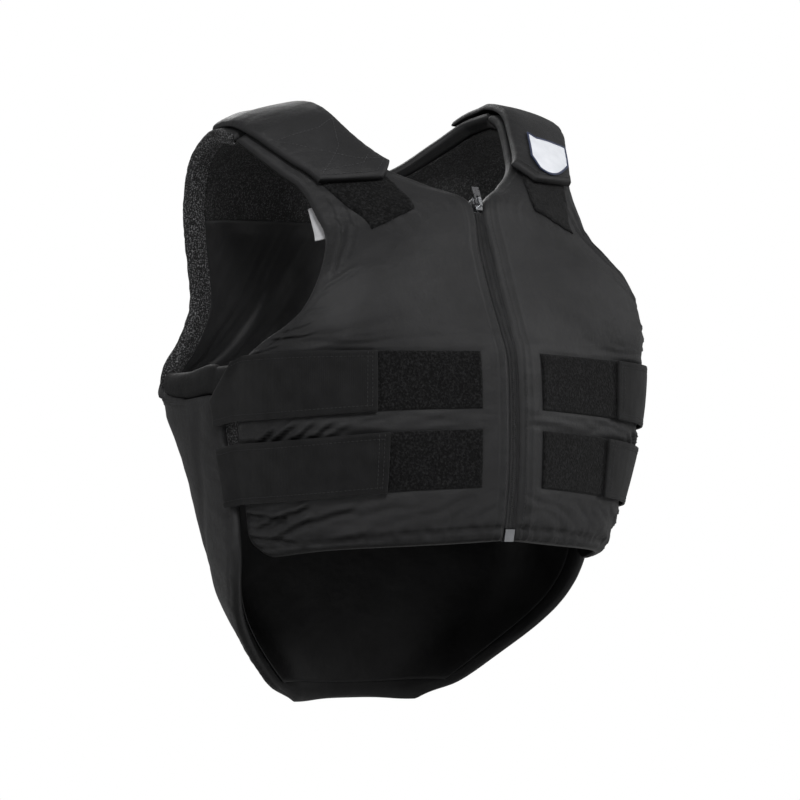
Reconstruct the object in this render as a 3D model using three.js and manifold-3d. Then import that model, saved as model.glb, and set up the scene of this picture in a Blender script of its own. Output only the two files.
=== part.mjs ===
// Equestrian body protector: a padded vest in the shape that it keeps on a torso.
// Millimetres, +Z up, the wearer faces -Y, and +X is the wearer's left.
// The origin is where the vest sits on the shoulders: between them, level with the top of the seat.
// A padded panel is a shell lofted through the sections of a table, each one a curve across the panel.
// The left half is worked out, and the right half is its mirror image until the vest settles.
import * as THREE from "three";
import { mergeVertices } from "three/addons/utils/BufferGeometryUtils.js";
import Module from "manifold-3d";

// Overall sizes of the vest
const HALF_WIDTH = 208; // from the middle to the side, outside, under the arm
const FRONT_DEPTH = 186; // from the origin forward to the chest, outside
const BACK_DEPTH = 103; // from the origin back to the shoulder blades, outside
const FRONT_LENGTH = 393; // from the origin down to the front hem
const TAIL_LENGTH = 538; // from the origin down to the end of the tail
const LEFT_SHOULDER_LIFT = 7; // the left shoulder sits this much above the middle, the right one below

// Padding and cloth
const PAD = 13; // padded panels
const PAD_EDGE = 4.5; // their sewn edges
const EDGE_ROUND = 13; // width of the rounded stretch beside an edge
const FLAP_PAD = 7;
const FLAP_EDGE = 3;
const FLAP_ROUND = 7;
const LINING = 1.2;
const WEBBING = 2.4; // side straps
const LOOP_TAPE = 1.8; // the soft half of a hook-and-loop fastening
const MESH = 1.2; // mesh cloth bound round an edge or let in between panels
const BADGE = 1.2;
const TAG = 1;
const GAP = 0.7; // between one piece and the piece that carries it

// Zip
const ZIP_GAP = 8; // from the middle to the edge of a front panel
const COIL_WIDTH = 5.4;
const COIL_THICK = 2.6;
const TAPE_THICK = 1.2;
const STOP_LENGTH = 11;
const STOP_WIDTH = 10;
const STOP_START = 0.02; // a place just above the hem, counted in sections
const SLIDER_LENGTH = 13;
const SLIDER_WIDTH = 10;
const SLIDER_PLATE = 1.4;
const BRIDGE_WIDTH = 2.4;
const BRIDGE_RISE = 4.6;
const BRIDGE_BAR = 1.3;
const BRIDGE_HALF = 4.4;
const SLIDER_ABOVE = 3; // the slider stands this far above the corner of the neckline
const PULL_LENGTH = 17;
const PULL_WIDTH = 7.5;
const PULL_THICK = 1.6;
const PULL_WINDOW = 6;
const PULL_WINDOW_WIDTH = 3.4;
const PIVOT_HEIGHT = 1.7; // from the slider's face to the hinge's line
const SLIDER_NECK = 0.33; // half width of the slider's lower end, as a share of its width

// Straps and loops, down from the origin at the zip or out from the edge beside the zip
const STRAP_HEIGHT = 50;
const UPPER_STRAP_TOP = 225;
const LOWER_STRAP_TOP = 294;
const LOOP_INSET = 26;
const LOOP_REACH = 139;
const UPPER_STRAP_END = 126;
const LOWER_STRAP_END = 114;
const STRAP_BRIDGE = 8; // a strap leaves the front panel this far before its side edge
const STRAP_ON_WING = 4; // how far a strap reaches on to the wing
const STRAP_SAG = 3; // a strap ends this much lower on the wing than at the front's side
const BRIDGE_STEPS = [0.33, 0.67, 1]; // shares of a strap's stretch between the panels
const STRAP_SLANT = 1.1; // forward lean of the upper strap's back end above the wing
const UNDERARM_HEIGHT = 27;
const UNDERARM_TUCK = 22; // the underarm rim reaches this far forward of the wing

// Shares of a section, or places counted in sections
const NAPE_CLEAR = 0.9; // the inner skins stay this far below the back neckline
const YOKE_ROW = 15.6; // the mesh yoke inside the back starts here
const YOKE_SEAM = 0.03;
const SHOULDER_CLEAR = 0.4;
const SKIN_COLUMNS = 6;
const SKIN_CLEAR = 1; // from a rounded edge to the skin inside it, in millimetres
const LONGEST_ROW = 26; // rows of a lattice lie about this far apart, in millimetres
const CLOSEST_PLACES = 0.03; // and never closer than this, counted in sections
const BESIDE_EDGE = [0, 0.16, 0.5, 1].map((s) => s * EDGE_ROUND); // lines of a lattice beside an edge
const FRONT_LATTICE = 16; // columns
const BACK_LATTICE = 12;
const UNDERARM_CLEAR = 0.1;
const UNDERARM_RISE = 0.8;
const RIM_LEVELS = [0, 0.08, 0.24, 0.5, 0.76, 0.92, 1]; // heights in the underarm rim, as shares of its own

// Reads the rows of a table into sections with named columns.
function readTable(names, rows) {
  return rows.map((row) => Object.fromEntries(names.map((name, i) => [name, row[i]])));
}

// A section leaves its inner end and arrives at its outer end on headings given in degrees: a turn
// from +X towards +Y and a dip below level. A reach is a share of the straight line between the ends.
const SECTION_COLUMNS = [
  "innerOut", "innerDeep", "innerDown", "outerOut", "outerDeep", "outerDown",
  "leaveTurn", "leaveDip", "arriveTurn", "arriveDip", "leaveReach", "arriveReach",
];

// Front panel, from the hem up to the top of the shoulder. Out is a share of HALF_WIDTH, measured at
// the inner end from the edge beside the zip. Deep is a share of FRONT_DEPTH, forward, and down is a
// share of FRONT_LENGTH.
const FRONT_TABLE = readTable(SECTION_COLUMNS, [
  [0, 0.946, 1.0, 0.88, 0.27, 1.036, 14, 4, 74, 4, 0.45, 0.42],
  [0, 0.968, 0.95, 0.899, 0.18, 0.99, 14, 3, 84, 2, 0.48, 0.45],
  [0, 0.995, 0.845, 0.938, 0.204, 0.882, 15, 2, 86, 1, 0.52, 0.47],
  [0, 1.0, 0.705, 0.981, 0.226, 0.735, 15, 1, 88, 0, 0.56, 0.5],
  [0, 0.984, 0.587, 0.99, 0.28, 0.6, 15, 1, 88, 0, 0.58, 0.5],
  [0, 0.925, 0.515, 0.962, 0.56, 0.535, 13, 1, 66, 0, 0.5, 0.42],
  [0, 0.85, 0.438, 0.89, 0.672, 0.474, 8, 2, 50, 3, 0.42, 0.4],
  [0, 0.763, 0.336, 0.822, 0.688, 0.396, 5, 4, 36, 6, 0.38, 0.38],
  [0, 0.683, 0.22, 0.712, 0.56, 0.3, 2, 6, 24, 8, 0.36, 0.36],
  [0.149, 0.554, 0.172, 0.707, 0.47, 0.24, -6, 8, 18, 12, 0.34, 0.34],
  [0.29, 0.42, 0.127, 0.721, 0.37, 0.175, -10, 8, 10, 16, 0.34, 0.34],
  [0.36, 0.3, 0.076, 0.774, 0.27, 0.13, -10, 8, 4, 20, 0.34, 0.34],
  [0.422, 0.15, 0.004, 0.832, 0.152, 0.08, -8, 8, 0, 26, 0.34, 0.34],
  [0.439, 0.05, -0.024, 0.878, 0.055, 0.041, 0, 8, 0, 30, 0.34, 0.34],
]);
const NECK_ROW = 8; // the section at the top of the zip
const SIDE_TOP_ROW = 4; // the section where the side edge turns into the armhole

// Back panel, from the end of the tail up to the top of the shoulder. Out is a share of HALF_WIDTH,
// from the middle. Deep is a share of BACK_DEPTH, back, and down is a share of TAIL_LENGTH.
const BACK_TABLE = readTable(SECTION_COLUMNS, [
  [0, 0.893, 1.0, 0.34, 0.8, 0.998, 0, 0, -24, 0, 0.35, 0.35],
  [0, 0.903, 0.976, 0.51, 0.6, 0.979, 0, 0, -38, 0, 0.4, 0.38],
  [0, 0.913, 0.937, 0.69, 0.36, 0.925, 0, 0, -52, 0, 0.5, 0.4],
  [0, 0.922, 0.887, 0.838, 0.08, 0.866, 0, 0, -68, 0, 0.56, 0.42],
  [0, 0.922, 0.822, 0.918, -0.14, 0.809, 0, 0, -80, 0, 0.6, 0.46],
  [0, 0.922, 0.747, 0.955, -0.28, 0.742, 0, 0, -87, 0, 0.63, 0.5],
  [0, 0.925, 0.664, 0.965, -0.27, 0.664, 0, 0, -90, 0, 0.68, 0.58],
  [0, 0.94, 0.571, 0.985, -0.19, 0.571, 0, 0, -93, 0, 0.71, 0.64],
  [0, 0.955, 0.5, 1.005, -0.13, 0.493, 0, 0, -94, -8, 0.74, 0.7],
  [0, 0.965, 0.466, 1.015, 0.36, 0.492, 0, 0, -92, 0, 0.74, 0.46],
  [0, 0.975, 0.45, 1.01, 0.76, 0.476, 0, 0, -76, 0, 0.7, 0.3],
  [0, 0.985, 0.413, 0.97, 0.87, 0.43, 0, 0, -50, 0, 0.6, 0.3],
  [0, 0.992, 0.366, 0.882, 0.91, 0.38, 0, 0, -30, 0, 0.5, 0.3],
  [0, 1.0, 0.31, 0.82, 0.93, 0.32, 0, 0, -22, 0, 0.45, 0.3],
  [0, 1.0, 0.245, 0.828, 0.93, 0.255, 0, 0, -20, 2, 0.42, 0.3],
  [0, 0.985, 0.19, 0.85, 0.915, 0.195, 0, 0, -18, 6, 0.4, 0.3],
  [0, 0.95, 0.14, 0.868, 0.88, 0.139, 0, 0, -14, 10, 0.38, 0.32],
  [0, 0.885, 0.091, 0.88, 0.8, 0.088, 0, 0, -10, 16, 0.36, 0.34],
  [0.22, 0.8, 0.062, 0.887, 0.69, 0.052, 0, 2, -6, 20, 0.34, 0.34],
  [0.38, 0.602, 0.018, 0.89, 0.52, 0.026, 0, 6, 0, 24, 0.34, 0.34],
  [0.462, 0.35, -0.014, 0.89, 0.28, 0.011, 0, 8, 0, 28, 0.34, 0.34],
  [0.4805, 0.0, -0.0226, 0.885, -0.025, 0.024, 0, 8, 0, 30, 0.34, 0.34],
]);
const WING_START = 4; // the section where the tail gives way to the wing
const WING_ROW = 8; // the section at the top of the wing, which reaches round to the front
const ARM_ROW = 10; // the section where the armhole's edge starts, behind the arm
const NAPE_ROW = 17; // the section at the bottom of the back neckline

function heading(turn, dip) {
  const a = THREE.MathUtils.degToRad(turn);
  const b = THREE.MathUtils.degToRad(dip);
  return new THREE.Vector3(Math.cos(a) * Math.cos(b), Math.sin(a) * Math.cos(b), -Math.sin(b));
}

// Follows a smooth curve through values of one kind, at a place counted in values.
function follow(values, place) {
  const last = values.length - 1;
  const i = Math.min(last - 1, Math.max(0, Math.floor(place)));
  const f = place - i;
  const at = (k) => values[Math.min(last, Math.max(0, k))];
  const [a, b, c, d] = [at(i - 1), at(i), at(i + 1), at(i + 2)];
  const curve = (p, q, r, s) =>
    q + 0.5 * f * (r - p + f * (2 * p - 5 * q + 4 * r - s + f * (3 * (q - r) + s - p)));
  return new THREE.Vector3(
    curve(a.x, b.x, c.x, d.x), curve(a.y, b.y, c.y, d.y), curve(a.z, b.z, c.z, d.z));
}

// The surface of a panel: at(across, place) takes a share of the way along a section and a place
// counted in sections. facing is 1 or -1, so that normals point away from the wearer.
function surface(sections, facing) {
  const ends = sections.map(({ inner, outer, ...s }) => {
    const span = inner.distanceTo(outer);
    const leave = heading(s.leaveTurn, s.leaveDip).multiplyScalar(s.leaveReach * span);
    const arrive = heading(s.arriveTurn, s.arriveDip).multiplyScalar(s.arriveReach * span);
    return [inner, inner.clone().add(leave), outer.clone().sub(arrive), outer];
  });
  const columns = [0, 1, 2, 3].map((k) => ends.map((e) => e[k]));
  const known = new Map();
  const STEPS = 32;
  function section(place) {
    if (!known.has(place)) {
      const curve = new THREE.CubicBezierCurve3(...columns.map((c) => follow(c, place)));
      curve.arcLengthDivisions = STEPS;
      known.set(place, curve);
    }
    return known.get(place);
  }
  const top = sections.length - 1;
  const at = (across, place) => section(place).getPointAt(Math.min(1, Math.max(0, across)));
  function normal(across, place) {
    const e = 0.004;
    const a = Math.min(1 - e, Math.max(e, across));
    const p = Math.min(top - e, Math.max(e, place));
    const du = at(a + e, p).sub(at(a - e, p));
    const dv = at(a, p + e).sub(at(a, p - e));
    return du.cross(dv).normalize().multiplyScalar(facing);
  }
  return { at, normal, width: (place) => section(place).getLength(), top };
}

const frontSurface = surface(
  FRONT_TABLE.map((s) => ({
    ...s,
    inner: new THREE.Vector3(
      ZIP_GAP + s.innerOut * HALF_WIDTH, -s.innerDeep * FRONT_DEPTH, -s.innerDown * FRONT_LENGTH),
    outer: new THREE.Vector3(
      s.outerOut * HALF_WIDTH, -s.outerDeep * FRONT_DEPTH, -s.outerDown * FRONT_LENGTH),
  })), 1);

const backSurface = surface(
  BACK_TABLE.map((s) => ({
    ...s,
    inner: new THREE.Vector3(
      s.innerOut * HALF_WIDTH, s.innerDeep * BACK_DEPTH, -s.innerDown * TAIL_LENGTH),
    outer: new THREE.Vector3(
      s.outerOut * HALF_WIDTH, s.outerDeep * BACK_DEPTH, -s.outerDown * TAIL_LENGTH),
  })), -1);

// Distance from a point to the nearest of a run of straight lines.
function distanceTo(path, point) {
  let best = Infinity;
  const line = new THREE.Line3();
  const near = new THREE.Vector3();
  for (let i = 1; i < path.length; i++) {
    line.set(path[i - 1], path[i]).closestPointToPoint(point, true, near);
    best = Math.min(best, near.distanceTo(point));
  }
  return best;
}

// The free edge of a panel, which leaves out the line where two halves join.
function freeEdge(skin, seamTop) {
  const STEPS = 60;
  const share = Array.from({ length: STEPS + 1 }, (_, i) => i / STEPS);
  const bottom = share.map((s) => skin.at(s, 0));
  const outside = share.map((s) => skin.at(1, s * skin.top));
  const end = share.map((s) => skin.at(1 - s, skin.top));
  const inside = share.map((s) => skin.at(0, skin.top + (seamTop - skin.top) * s));
  return [...bottom, ...outside, ...end, ...inside];
}

// Shares of the way across, close together beside a free edge and evenly spread elsewhere.
function spread(width, columns, freeStart) {
  const beside = BESIDE_EDGE.map((d) => d / width);
  const start = freeStart ? beside : [0];
  const count = columns - start.length - beside.length + 1;
  const [from, to] = [start[start.length - 1], 1 - beside[beside.length - 1]];
  const middle = Array.from({ length: count - 1 }, (_, i) => from + ((to - from) * (i + 1)) / count);
  return [...start, ...middle, ...beside.map((s) => 1 - s).reverse()];
}

// Places of a lattice: every section, more where sections lie far apart, and close together beside
// the two ends.
function latticePlaces(skin, longest) {
  const places = [];
  const step = (place) => skin.at(0.5, place).distanceTo(skin.at(0.5, place + 1));
  const beside = BESIDE_EDGE.slice(1);
  for (let k = 0; k < skin.top; k++) {
    const length = step(k);
    const count = Math.max(1, Math.round(length / longest));
    for (let n = 0; n < count; n++) {
      places.push(k + n / count);
    }
    if (k === 0) {
      places.push(...beside.map((b) => b / length));
    }
    if (k === skin.top - 1) {
      places.push(...beside.map((b) => k + 1 - b / length));
    }
  }
  places.push(skin.top);
  const sorted = places.filter((p) => p <= skin.top).sort((a, b) => a - b);
  return sorted.filter((p, i) => i === 0 || p - sorted[i - 1] > CLOSEST_PLACES);
}

const between = (from, to, count) =>
  Array.from({ length: count + 1 }, (_, i) => from + ((to - from) * i) / count);

// The place between two others where a skin is this far below the origin, at a share of the way across.
function placeDown(skin, across, down, from, to) {
  let [low, high] = [from, to];
  for (let n = 0; n < 40; n++) {
    const middle = (low + high) / 2;
    if (-skin.at(across, middle).z > down) {
      low = middle;
    } else {
      high = middle;
    }
  }
  return (low + high) / 2;
}

// The lattice of a padded half panel: its places, and for each one the skin's point and normal and
// the points of the outside and the inside. seamTop is the place up to which the inner end of the
// sections is a seam.
function padded(skin, places, columns, seamTop) {
  const edge = freeEdge(skin, seamTop);
  const halfThick = (point) => {
    const share = 1 - Math.min(1, distanceTo(edge, point) / EDGE_ROUND);
    return PAD_EDGE / 2 + ((PAD - PAD_EDGE) / 2) * Math.sqrt(1 - share * share);
  };
  const lattice = { skin, places, seamTop, shares: [], crown: [], normal: [], outside: [], inside: [] };
  for (const place of places) {
    const onSeam = seamTop > 0 && place <= seamTop;
    const shares = spread(skin.width(place), columns, !onSeam || place === seamTop);
    const crown = shares.map((s) => skin.at(s, place));
    const normal = shares.map((s) => skin.normal(s, place));
    const half = crown.map(halfThick);
    if (onSeam) {
      normal[0].setX(0).normalize();
    }
    const sink = (i, depth) => crown[i].clone().addScaledVector(normal[i], -depth);
    lattice.shares.push(shares);
    lattice.crown.push(crown);
    lattice.normal.push(normal);
    lattice.outside.push(crown.map((_, i) => sink(i, PAD / 2 - half[i])));
    lattice.inside.push(crown.map((_, i) => sink(i, PAD / 2 + half[i])));
  }
  return lattice;
}

// The row of a lattice just below a place, how far the place lies above it, and the shares that the
// lattice's columns have there.
function columnsAt({ places, shares }, place) {
  let j = places.findIndex((p) => p > place) - 1;
  j = j < 0 ? places.length - 2 : j;
  const f = (place - places[j]) / (places[j + 1] - places[j]);
  return { j, f, across: shares[j].map((s, i) => s + (shares[j + 1][i] - s) * f) };
}

// Reads one of a lattice's grids between its points, on the flats that the grid makes.
function read(lattice, grid, share, place) {
  const { j, f, across } = columnsAt(lattice, place);
  let i = across.findIndex((s) => s > share) - 1;
  i = i < 0 ? across.length - 2 : i;
  const g = (share - across[i]) / (across[i + 1] - across[i]);
  const low = grid[j][i].clone().lerp(grid[j][i + 1], g);
  const high = grid[j + 1][i].clone().lerp(grid[j + 1][i + 1], g);
  return low.lerp(high, f);
}

// A closed mesh round two grids of points of the same size, with a rim along each edge that is not
// left open.
function closeGrids(top, bottom, open = {}) {
  const rows = top.length;
  const columns = top[0].length;
  const points = [...top.flat(), ...bottom.flat()];
  const faces = [];
  const upper = (j, i) => j * columns + i;
  const lower = (j, i) => rows * columns + j * columns + i;
  const quad = (a, b, c, d) => faces.push(a, b, c, a, c, d);
  for (let j = 0; j + 1 < rows; j++) {
    for (let i = 0; i + 1 < columns; i++) {
      quad(upper(j, i), upper(j, i + 1), upper(j + 1, i + 1), upper(j + 1, i));
      quad(lower(j, i), lower(j + 1, i), lower(j + 1, i + 1), lower(j, i + 1));
    }
    if (!open.start?.(j)) {
      quad(upper(j, 0), upper(j + 1, 0), lower(j + 1, 0), lower(j, 0));
    }
    quad(upper(j + 1, columns - 1), upper(j, columns - 1), lower(j, columns - 1), lower(j + 1, columns - 1));
  }
  for (let i = 0; i + 1 < columns; i++) {
    quad(upper(0, i + 1), upper(0, i), lower(0, i), lower(0, i + 1));
    quad(upper(rows - 1, i), upper(rows - 1, i + 1), lower(rows - 1, i + 1), lower(rows - 1, i));
  }
  return { points, faces };
}

function mirrored({ points, faces }) {
  const flipped = [];
  for (let k = 0; k < faces.length; k += 3) {
    flipped.push(faces[k], faces[k + 2], faces[k + 1]);
  }
  return { points: points.map((p) => new THREE.Vector3(-p.x, p.y, p.z)), faces: flipped };
}

function joined(a, b) {
  return {
    points: [...a.points, ...b.points],
    faces: [...a.faces, ...b.faces.map((k) => k + a.points.length)],
  };
}

// How the vest settles on the wearer, with one shoulder a little higher than the other.
function settle(point) {
  const up = THREE.MathUtils.smoothstep(point.z, -FRONT_LENGTH * 0.62, 0);
  const lift = (2 * LEFT_SHOULDER_LIFT * point.x * up) / HALF_WIDTH;
  return new THREE.Vector3(point.x, point.y, point.z + lift);
}

function volumeOf(points, faces) {
  let sum = 0;
  for (let k = 0; k < faces.length; k += 3) {
    const [a, b, c] = [points[faces[k]], points[faces[k + 1]], points[faces[k + 2]]];
    sum += a.dot(b.clone().cross(c)) / 6;
  }
  return sum;
}

function toGeometry({ points, faces }) {
  const settled = points.map(settle);
  const turned = volumeOf(settled, faces) < 0;
  const order = [];
  for (let k = 0; k < faces.length; k += 3) {
    order.push(faces[k], faces[k + (turned ? 2 : 1)], faces[k + (turned ? 1 : 2)]);
  }
  const geometry = new THREE.BufferGeometry();
  geometry.setAttribute("position", new THREE.Float32BufferAttribute(settled.flatMap((p) => p.toArray()), 3));
  geometry.setIndex(order);
  return mergeVertices(geometry, 1e-3);
}

const cloth = (color, roughness) => new THREE.MeshStandardMaterial({ color, roughness, metalness: 0 });
const MATERIALS = {
  nylon: cloth(0x2a2a2c, 0.55),
  lining: cloth(0x131314, 0.75),
  loop: cloth(0x101011, 0.95),
  webbing: cloth(0x1a1a1b, 0.8),
  mesh: cloth(0x17171a, 0.85),
  zip: cloth(0x19191b, 0.5),
  badge: cloth(0xe9ebef, 0.6),
  tag: cloth(0xdcdcdc, 0.8),
  metal: new THREE.MeshStandardMaterial({ color: 0xb9bcc2, roughness: 0.35, metalness: 1 }),
  slider: new THREE.MeshStandardMaterial({ color: 0x2b2b2e, roughness: 0.4, metalness: 0.8 }),
};

const vest = new THREE.Group();
function place(name, material, solid) {
  const mesh = new THREE.Mesh(toGeometry(solid), MATERIALS[material]);
  mesh.name = name;
  vest.add(mesh);
}
function placePair(name, material, solid) {
  place(`${name}_left`, material, solid);
  place(`${name}_right`, material, mirrored(solid));
}

const frontPanel = padded(frontSurface, latticePlaces(frontSurface, LONGEST_ROW), FRONT_LATTICE, 0);
const backPanel = padded(backSurface, latticePlaces(backSurface, LONGEST_ROW), BACK_LATTICE, NAPE_ROW);

// A point of a lattice's skin raised off it, or of its inside sunk below it.
function raised(lattice, share, place, lift) {
  const normal = read(lattice, lattice.normal, share, place).normalize();
  return read(lattice, lattice.crown, share, place).addScaledVector(normal, lift);
}
function sunk(lattice, share, place, depth) {
  const normal = read(lattice, lattice.normal, share, place).normalize();
  return read(lattice, lattice.inside, share, place).addScaledVector(normal, -depth);
}

// A flat piece laid on a panel at a grid of spots, each a share across and a place.
function laid(lattice, spots, lift, thick) {
  const grid = (height) => spots.map((row) => row.map(([s, p]) => raised(lattice, s, p, height)));
  return closeGrids(grid(lift + thick), grid(lift));
}

function backPadding() {
  const open = { start: (j) => backPanel.places[j + 1] <= NAPE_ROW + 1e-6 };
  const half = closeGrids(backPanel.outside, backPanel.inside, open);
  return joined(half, mirrored(half));
}

// A skin on the inside of the back between two places, away from the free edges. Below the neckline
// it keeps to the panel's own columns.
function backSkin(from, to) {
  const clear = EDGE_ROUND + SKIN_CLEAR;
  const inner = backPanel.places.filter((p) => p > from + 0.1 && p < to - 0.1);
  const places = [from, ...inner, to];
  const open = NAPE_ROW - NAPE_CLEAR;
  const spots = places.map((p) => {
    const width = backSurface.width(p);
    if (to < open) {
      const own = columnsAt(backPanel, p).across.slice(0, 1 - BESIDE_EDGE.length);
      return own.map((s, i) => [i === own.length - 1 ? s - SKIN_CLEAR / width : s, p]);
    }
    const start = p <= open + 1e-6 ? 0 : clear / width;
    return between(start, 1 - clear / width, SKIN_COLUMNS).map((s) => [s, p]);
  });
  const grid = (depth) =>
    spots.map((row) => row.map(([s, p]) => {
      const point = sunk(backPanel, s, p, depth);
      return s === 0 ? point.setX(0) : point;
    }));
  const seam = { start: (j) => places[j + 1] <= open + 1e-6 };
  const half = closeGrids(grid(GAP), grid(GAP + LINING), seam);
  return joined(half, mirrored(half));
}

// Mesh cloth bound round the back's armhole edge, from the inside over the rim to the outside.
function armholeTrim() {
  const rows = backPanel.places.map((p, j) => [p, j]).filter(([p]) => p > ARM_ROW + 0.2);
  const profile = rows.map(([, j]) => {
    const last = backPanel.crown[j].length - 1;
    const outward = backPanel.crown[j][last].clone().sub(backPanel.crown[j][last - 1]).normalize();
    const at = (grid, i, away, over) => ({
      point: backPanel[grid][j][i],
      way: backPanel.normal[j][i].clone().multiplyScalar(away).addScaledVector(outward, over),
    });
    return [
      at("inside", last - 3, -1, 0), at("inside", last - 2, -1, 0.2), at("inside", last - 1, -1, 0.9),
      at("inside", last, -0.9, 1.1), at("outside", last, 0.9, 1.1), at("outside", last - 1, 1, 0.9),
    ];
  });
  const grid = (height) =>
    profile.map((row) => row.map(({ point, way }) => point.clone().addScaledVector(way, height)));
  return closeGrids(grid(GAP + MESH), grid(GAP));
}

// The padded rim under the arm, which stands on the top of the wing and tucks under the front panel.
function underarmRim() {
  const low = between(0, 1, 7).map((s) => {
    const point = backSurface.at(1, WING_ROW + (ARM_ROW - UNDERARM_CLEAR - WING_ROW) * s);
    return point.setZ(point.z + PAD_EDGE / 2 + GAP);
  });
  const tuck = low[0].clone().setY(low[0].y - UNDERARM_TUCK);
  low.unshift(tuck);
  const high = low.map((p) => p.clone().setZ(p.z + UNDERARM_HEIGHT));
  const end = backSurface.at(1, ARM_ROW + UNDERARM_RISE);
  end.y -= 3 * GAP + MESH + PAD_EDGE / 2;
  const shift = end.clone().sub(high[high.length - 1]);
  high.forEach((p, i) => p.addScaledVector(shift, (i / (high.length - 1)) ** 2));
  const side = (sign) =>
    RIM_LEVELS.map((level) => low.map((p, i) => {
      const point = p.clone().lerp(high[i], level);
      const ahead = low[Math.min(low.length - 1, i + 1)];
      const behind = low[Math.max(0, i - 1)];
      const out = ahead.clone().sub(behind).cross(new THREE.Vector3(0, 0, 1)).normalize();
      const edge = Math.min(level, 1 - level) * UNDERARM_HEIGHT;
      const share = 1 - Math.min(1, edge / (UNDERARM_HEIGHT / 2));
      const half = PAD_EDGE / 2 + ((PAD - PAD_EDGE) / 2) * Math.sqrt(1 - share * share);
      return point.addScaledVector(out, -PAD / 2 + sign * half);
    }));
  return closeGrids(side(1), side(-1));
}

// A side strap: it starts on the back's wing, crosses to the front and ends over the front's loop.
function sideStrap(top, end, slanted) {
  const lift = 2 * GAP + LOOP_TAPE;
  const rows = between(0, 1, 5).map((t) => {
    const place = placeDown(frontSurface, 0, top + STRAP_HEIGHT * t, 0, NECK_ROW);
    const width = frontSurface.width(place);
    const spots = between(end, width - STRAP_BRIDGE, 10).map((d) => d / width);
    const path = spots.map((s) => ({
      point: raised(frontPanel, s, place, lift),
      normal: read(frontPanel, frontPanel.normal, s, place).normalize(),
    }));
    const from = path[path.length - 1];
    const heading = from.point.clone().sub(path[path.length - 2].point).normalize();
    const wingTop = -backSurface.at(1, WING_ROW).z;
    const down = -from.point.z + STRAP_SAG;
    const back = placeDown(backSurface, 1, Math.max(down, wingTop + GAP), WING_START, WING_ROW);
    const share = 1 - STRAP_ON_WING / backSurface.width(back);
    const to = {
      point: raised(backPanel, share, back, lift),
      normal: read(backPanel, backPanel.normal, share, back).normalize(),
    };
    if (slanted && down < wingTop) {
      const above = wingTop - down;
      to.point.add(new THREE.Vector3(0, -above * STRAP_SLANT - STRAP_ON_WING, above));
    }
    const reach = from.point.distanceTo(to.point) / 3;
    const bridge = new THREE.CubicBezierCurve3(
      from.point, from.point.clone().addScaledVector(heading, reach),
      to.point.clone().add(new THREE.Vector3(0, -reach, 0)), to.point);
    for (const f of BRIDGE_STEPS) {
      path.push({ point: bridge.getPoint(f), normal: from.normal.clone().lerp(to.normal, f).normalize() });
    }
    return path;
  });
  const grid = (height) =>
    rows.map((row) => row.map(({ point, normal }) => point.clone().addScaledVector(normal, height)));
  return closeGrids(grid(WEBBING), grid(0));
}

function frontLoop(top) {
  const spots = between(0, 1, 5).map((t) => {
    const place = placeDown(frontSurface, 0, top + STRAP_HEIGHT * t, 0, NECK_ROW);
    return between(LOOP_INSET, LOOP_REACH, 9).map((d) => [d / frontSurface.width(place), place]);
  });
  return laid(frontPanel, spots, GAP, LOOP_TAPE);
}

// Corners of the loop under a shoulder flap, each a share across and a place on the front panel.
const SHOULDER_LOOP = {
  topNeck: [0.12, 10.25], topArm: [0.84, 10.3], lowArm: [0.72, 7.9], lowNeck: [0.4, 8.15],
};
function shoulderLoop() {
  const { topNeck, topArm, lowArm, lowNeck } = SHOULDER_LOOP;
  const mix = (a, b, f) => a.map((v, k) => v + (b[k] - v) * f);
  const spots = between(0, 1, 6).map((t) =>
    between(0, 1, 5).map((f) => mix(mix(lowNeck, topNeck, t), mix(lowArm, topArm, t), f)));
  return laid(frontPanel, spots, GAP, LOOP_TAPE);
}

// The shoulder flap: sewn to the back behind the top of the shoulder, it comes over and fastens on
// the front. along runs from 0 at its tip to 1 at the top of the shoulder, and on to 2 behind it.
const FLAP = {
  tip: 9.1, lean: 0.9, cut: 0.85, cutShare: 0.33,
  neck: 0.02, armTip: 0.86, armTop: 0.93, behind: 1.4,
};
function flapSpot(across, along) {
  const arm = FLAP.armTip + (FLAP.armTop - FLAP.armTip) * Math.min(1, along);
  const share = FLAP.neck + (arm - FLAP.neck) * across;
  if (along <= 1) {
    const tip = FLAP.tip + FLAP.lean * share + FLAP.cut * Math.max(0, 1 - share / FLAP.cutShare);
    return { lattice: frontPanel, share, place: tip + (frontSurface.top - tip) * along };
  }
  return { lattice: backPanel, share, place: backSurface.top - FLAP.behind * (along - 1) };
}
function flapLift(along) {
  return GAP + (LOOP_TAPE + GAP) * (1 - THREE.MathUtils.smoothstep(along, 0.1, 1));
}
function onFlap(across, along, height) {
  const { lattice, share, place } = flapSpot(across, along);
  return raised(lattice, share, place, flapLift(along) + height);
}
const FLAP_ACROSS = [0, 0.03, 0.1, 0.36, 0.64, 0.9, 0.97, 1];
const FLAP_ALONG = [0, 0.03, 0.09, 0.24, 0.4, 0.56, 0.72, 0.86, 1, 1.001, 1.25, 1.5, 1.714, 1.9, 1.97, 2];
function shoulderFlap() {
  const spine = FLAP_ALONG.filter((a) => a !== 1);
  const rim = [
    ...FLAP_ACROSS.map((s) => onFlap(s, 0, 0)), ...spine.map((a) => onFlap(1, a, 0)),
    ...[...FLAP_ACROSS].reverse().map((s) => onFlap(s, 2, 0)),
    ...[...spine].reverse().map((a) => onFlap(0, a, 0)),
  ];
  const grid = (top) =>
    spine.map((along) => FLAP_ACROSS.map((across) => {
      const share = 1 - Math.min(1, distanceTo(rim, onFlap(across, along, 0)) / FLAP_ROUND);
      const thick = FLAP_EDGE + (FLAP_PAD - FLAP_EDGE) * Math.sqrt(1 - share * share);
      return onFlap(across, along, top ? thick : 0);
    }));
  return closeGrids(grid(true), grid(false));
}

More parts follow.
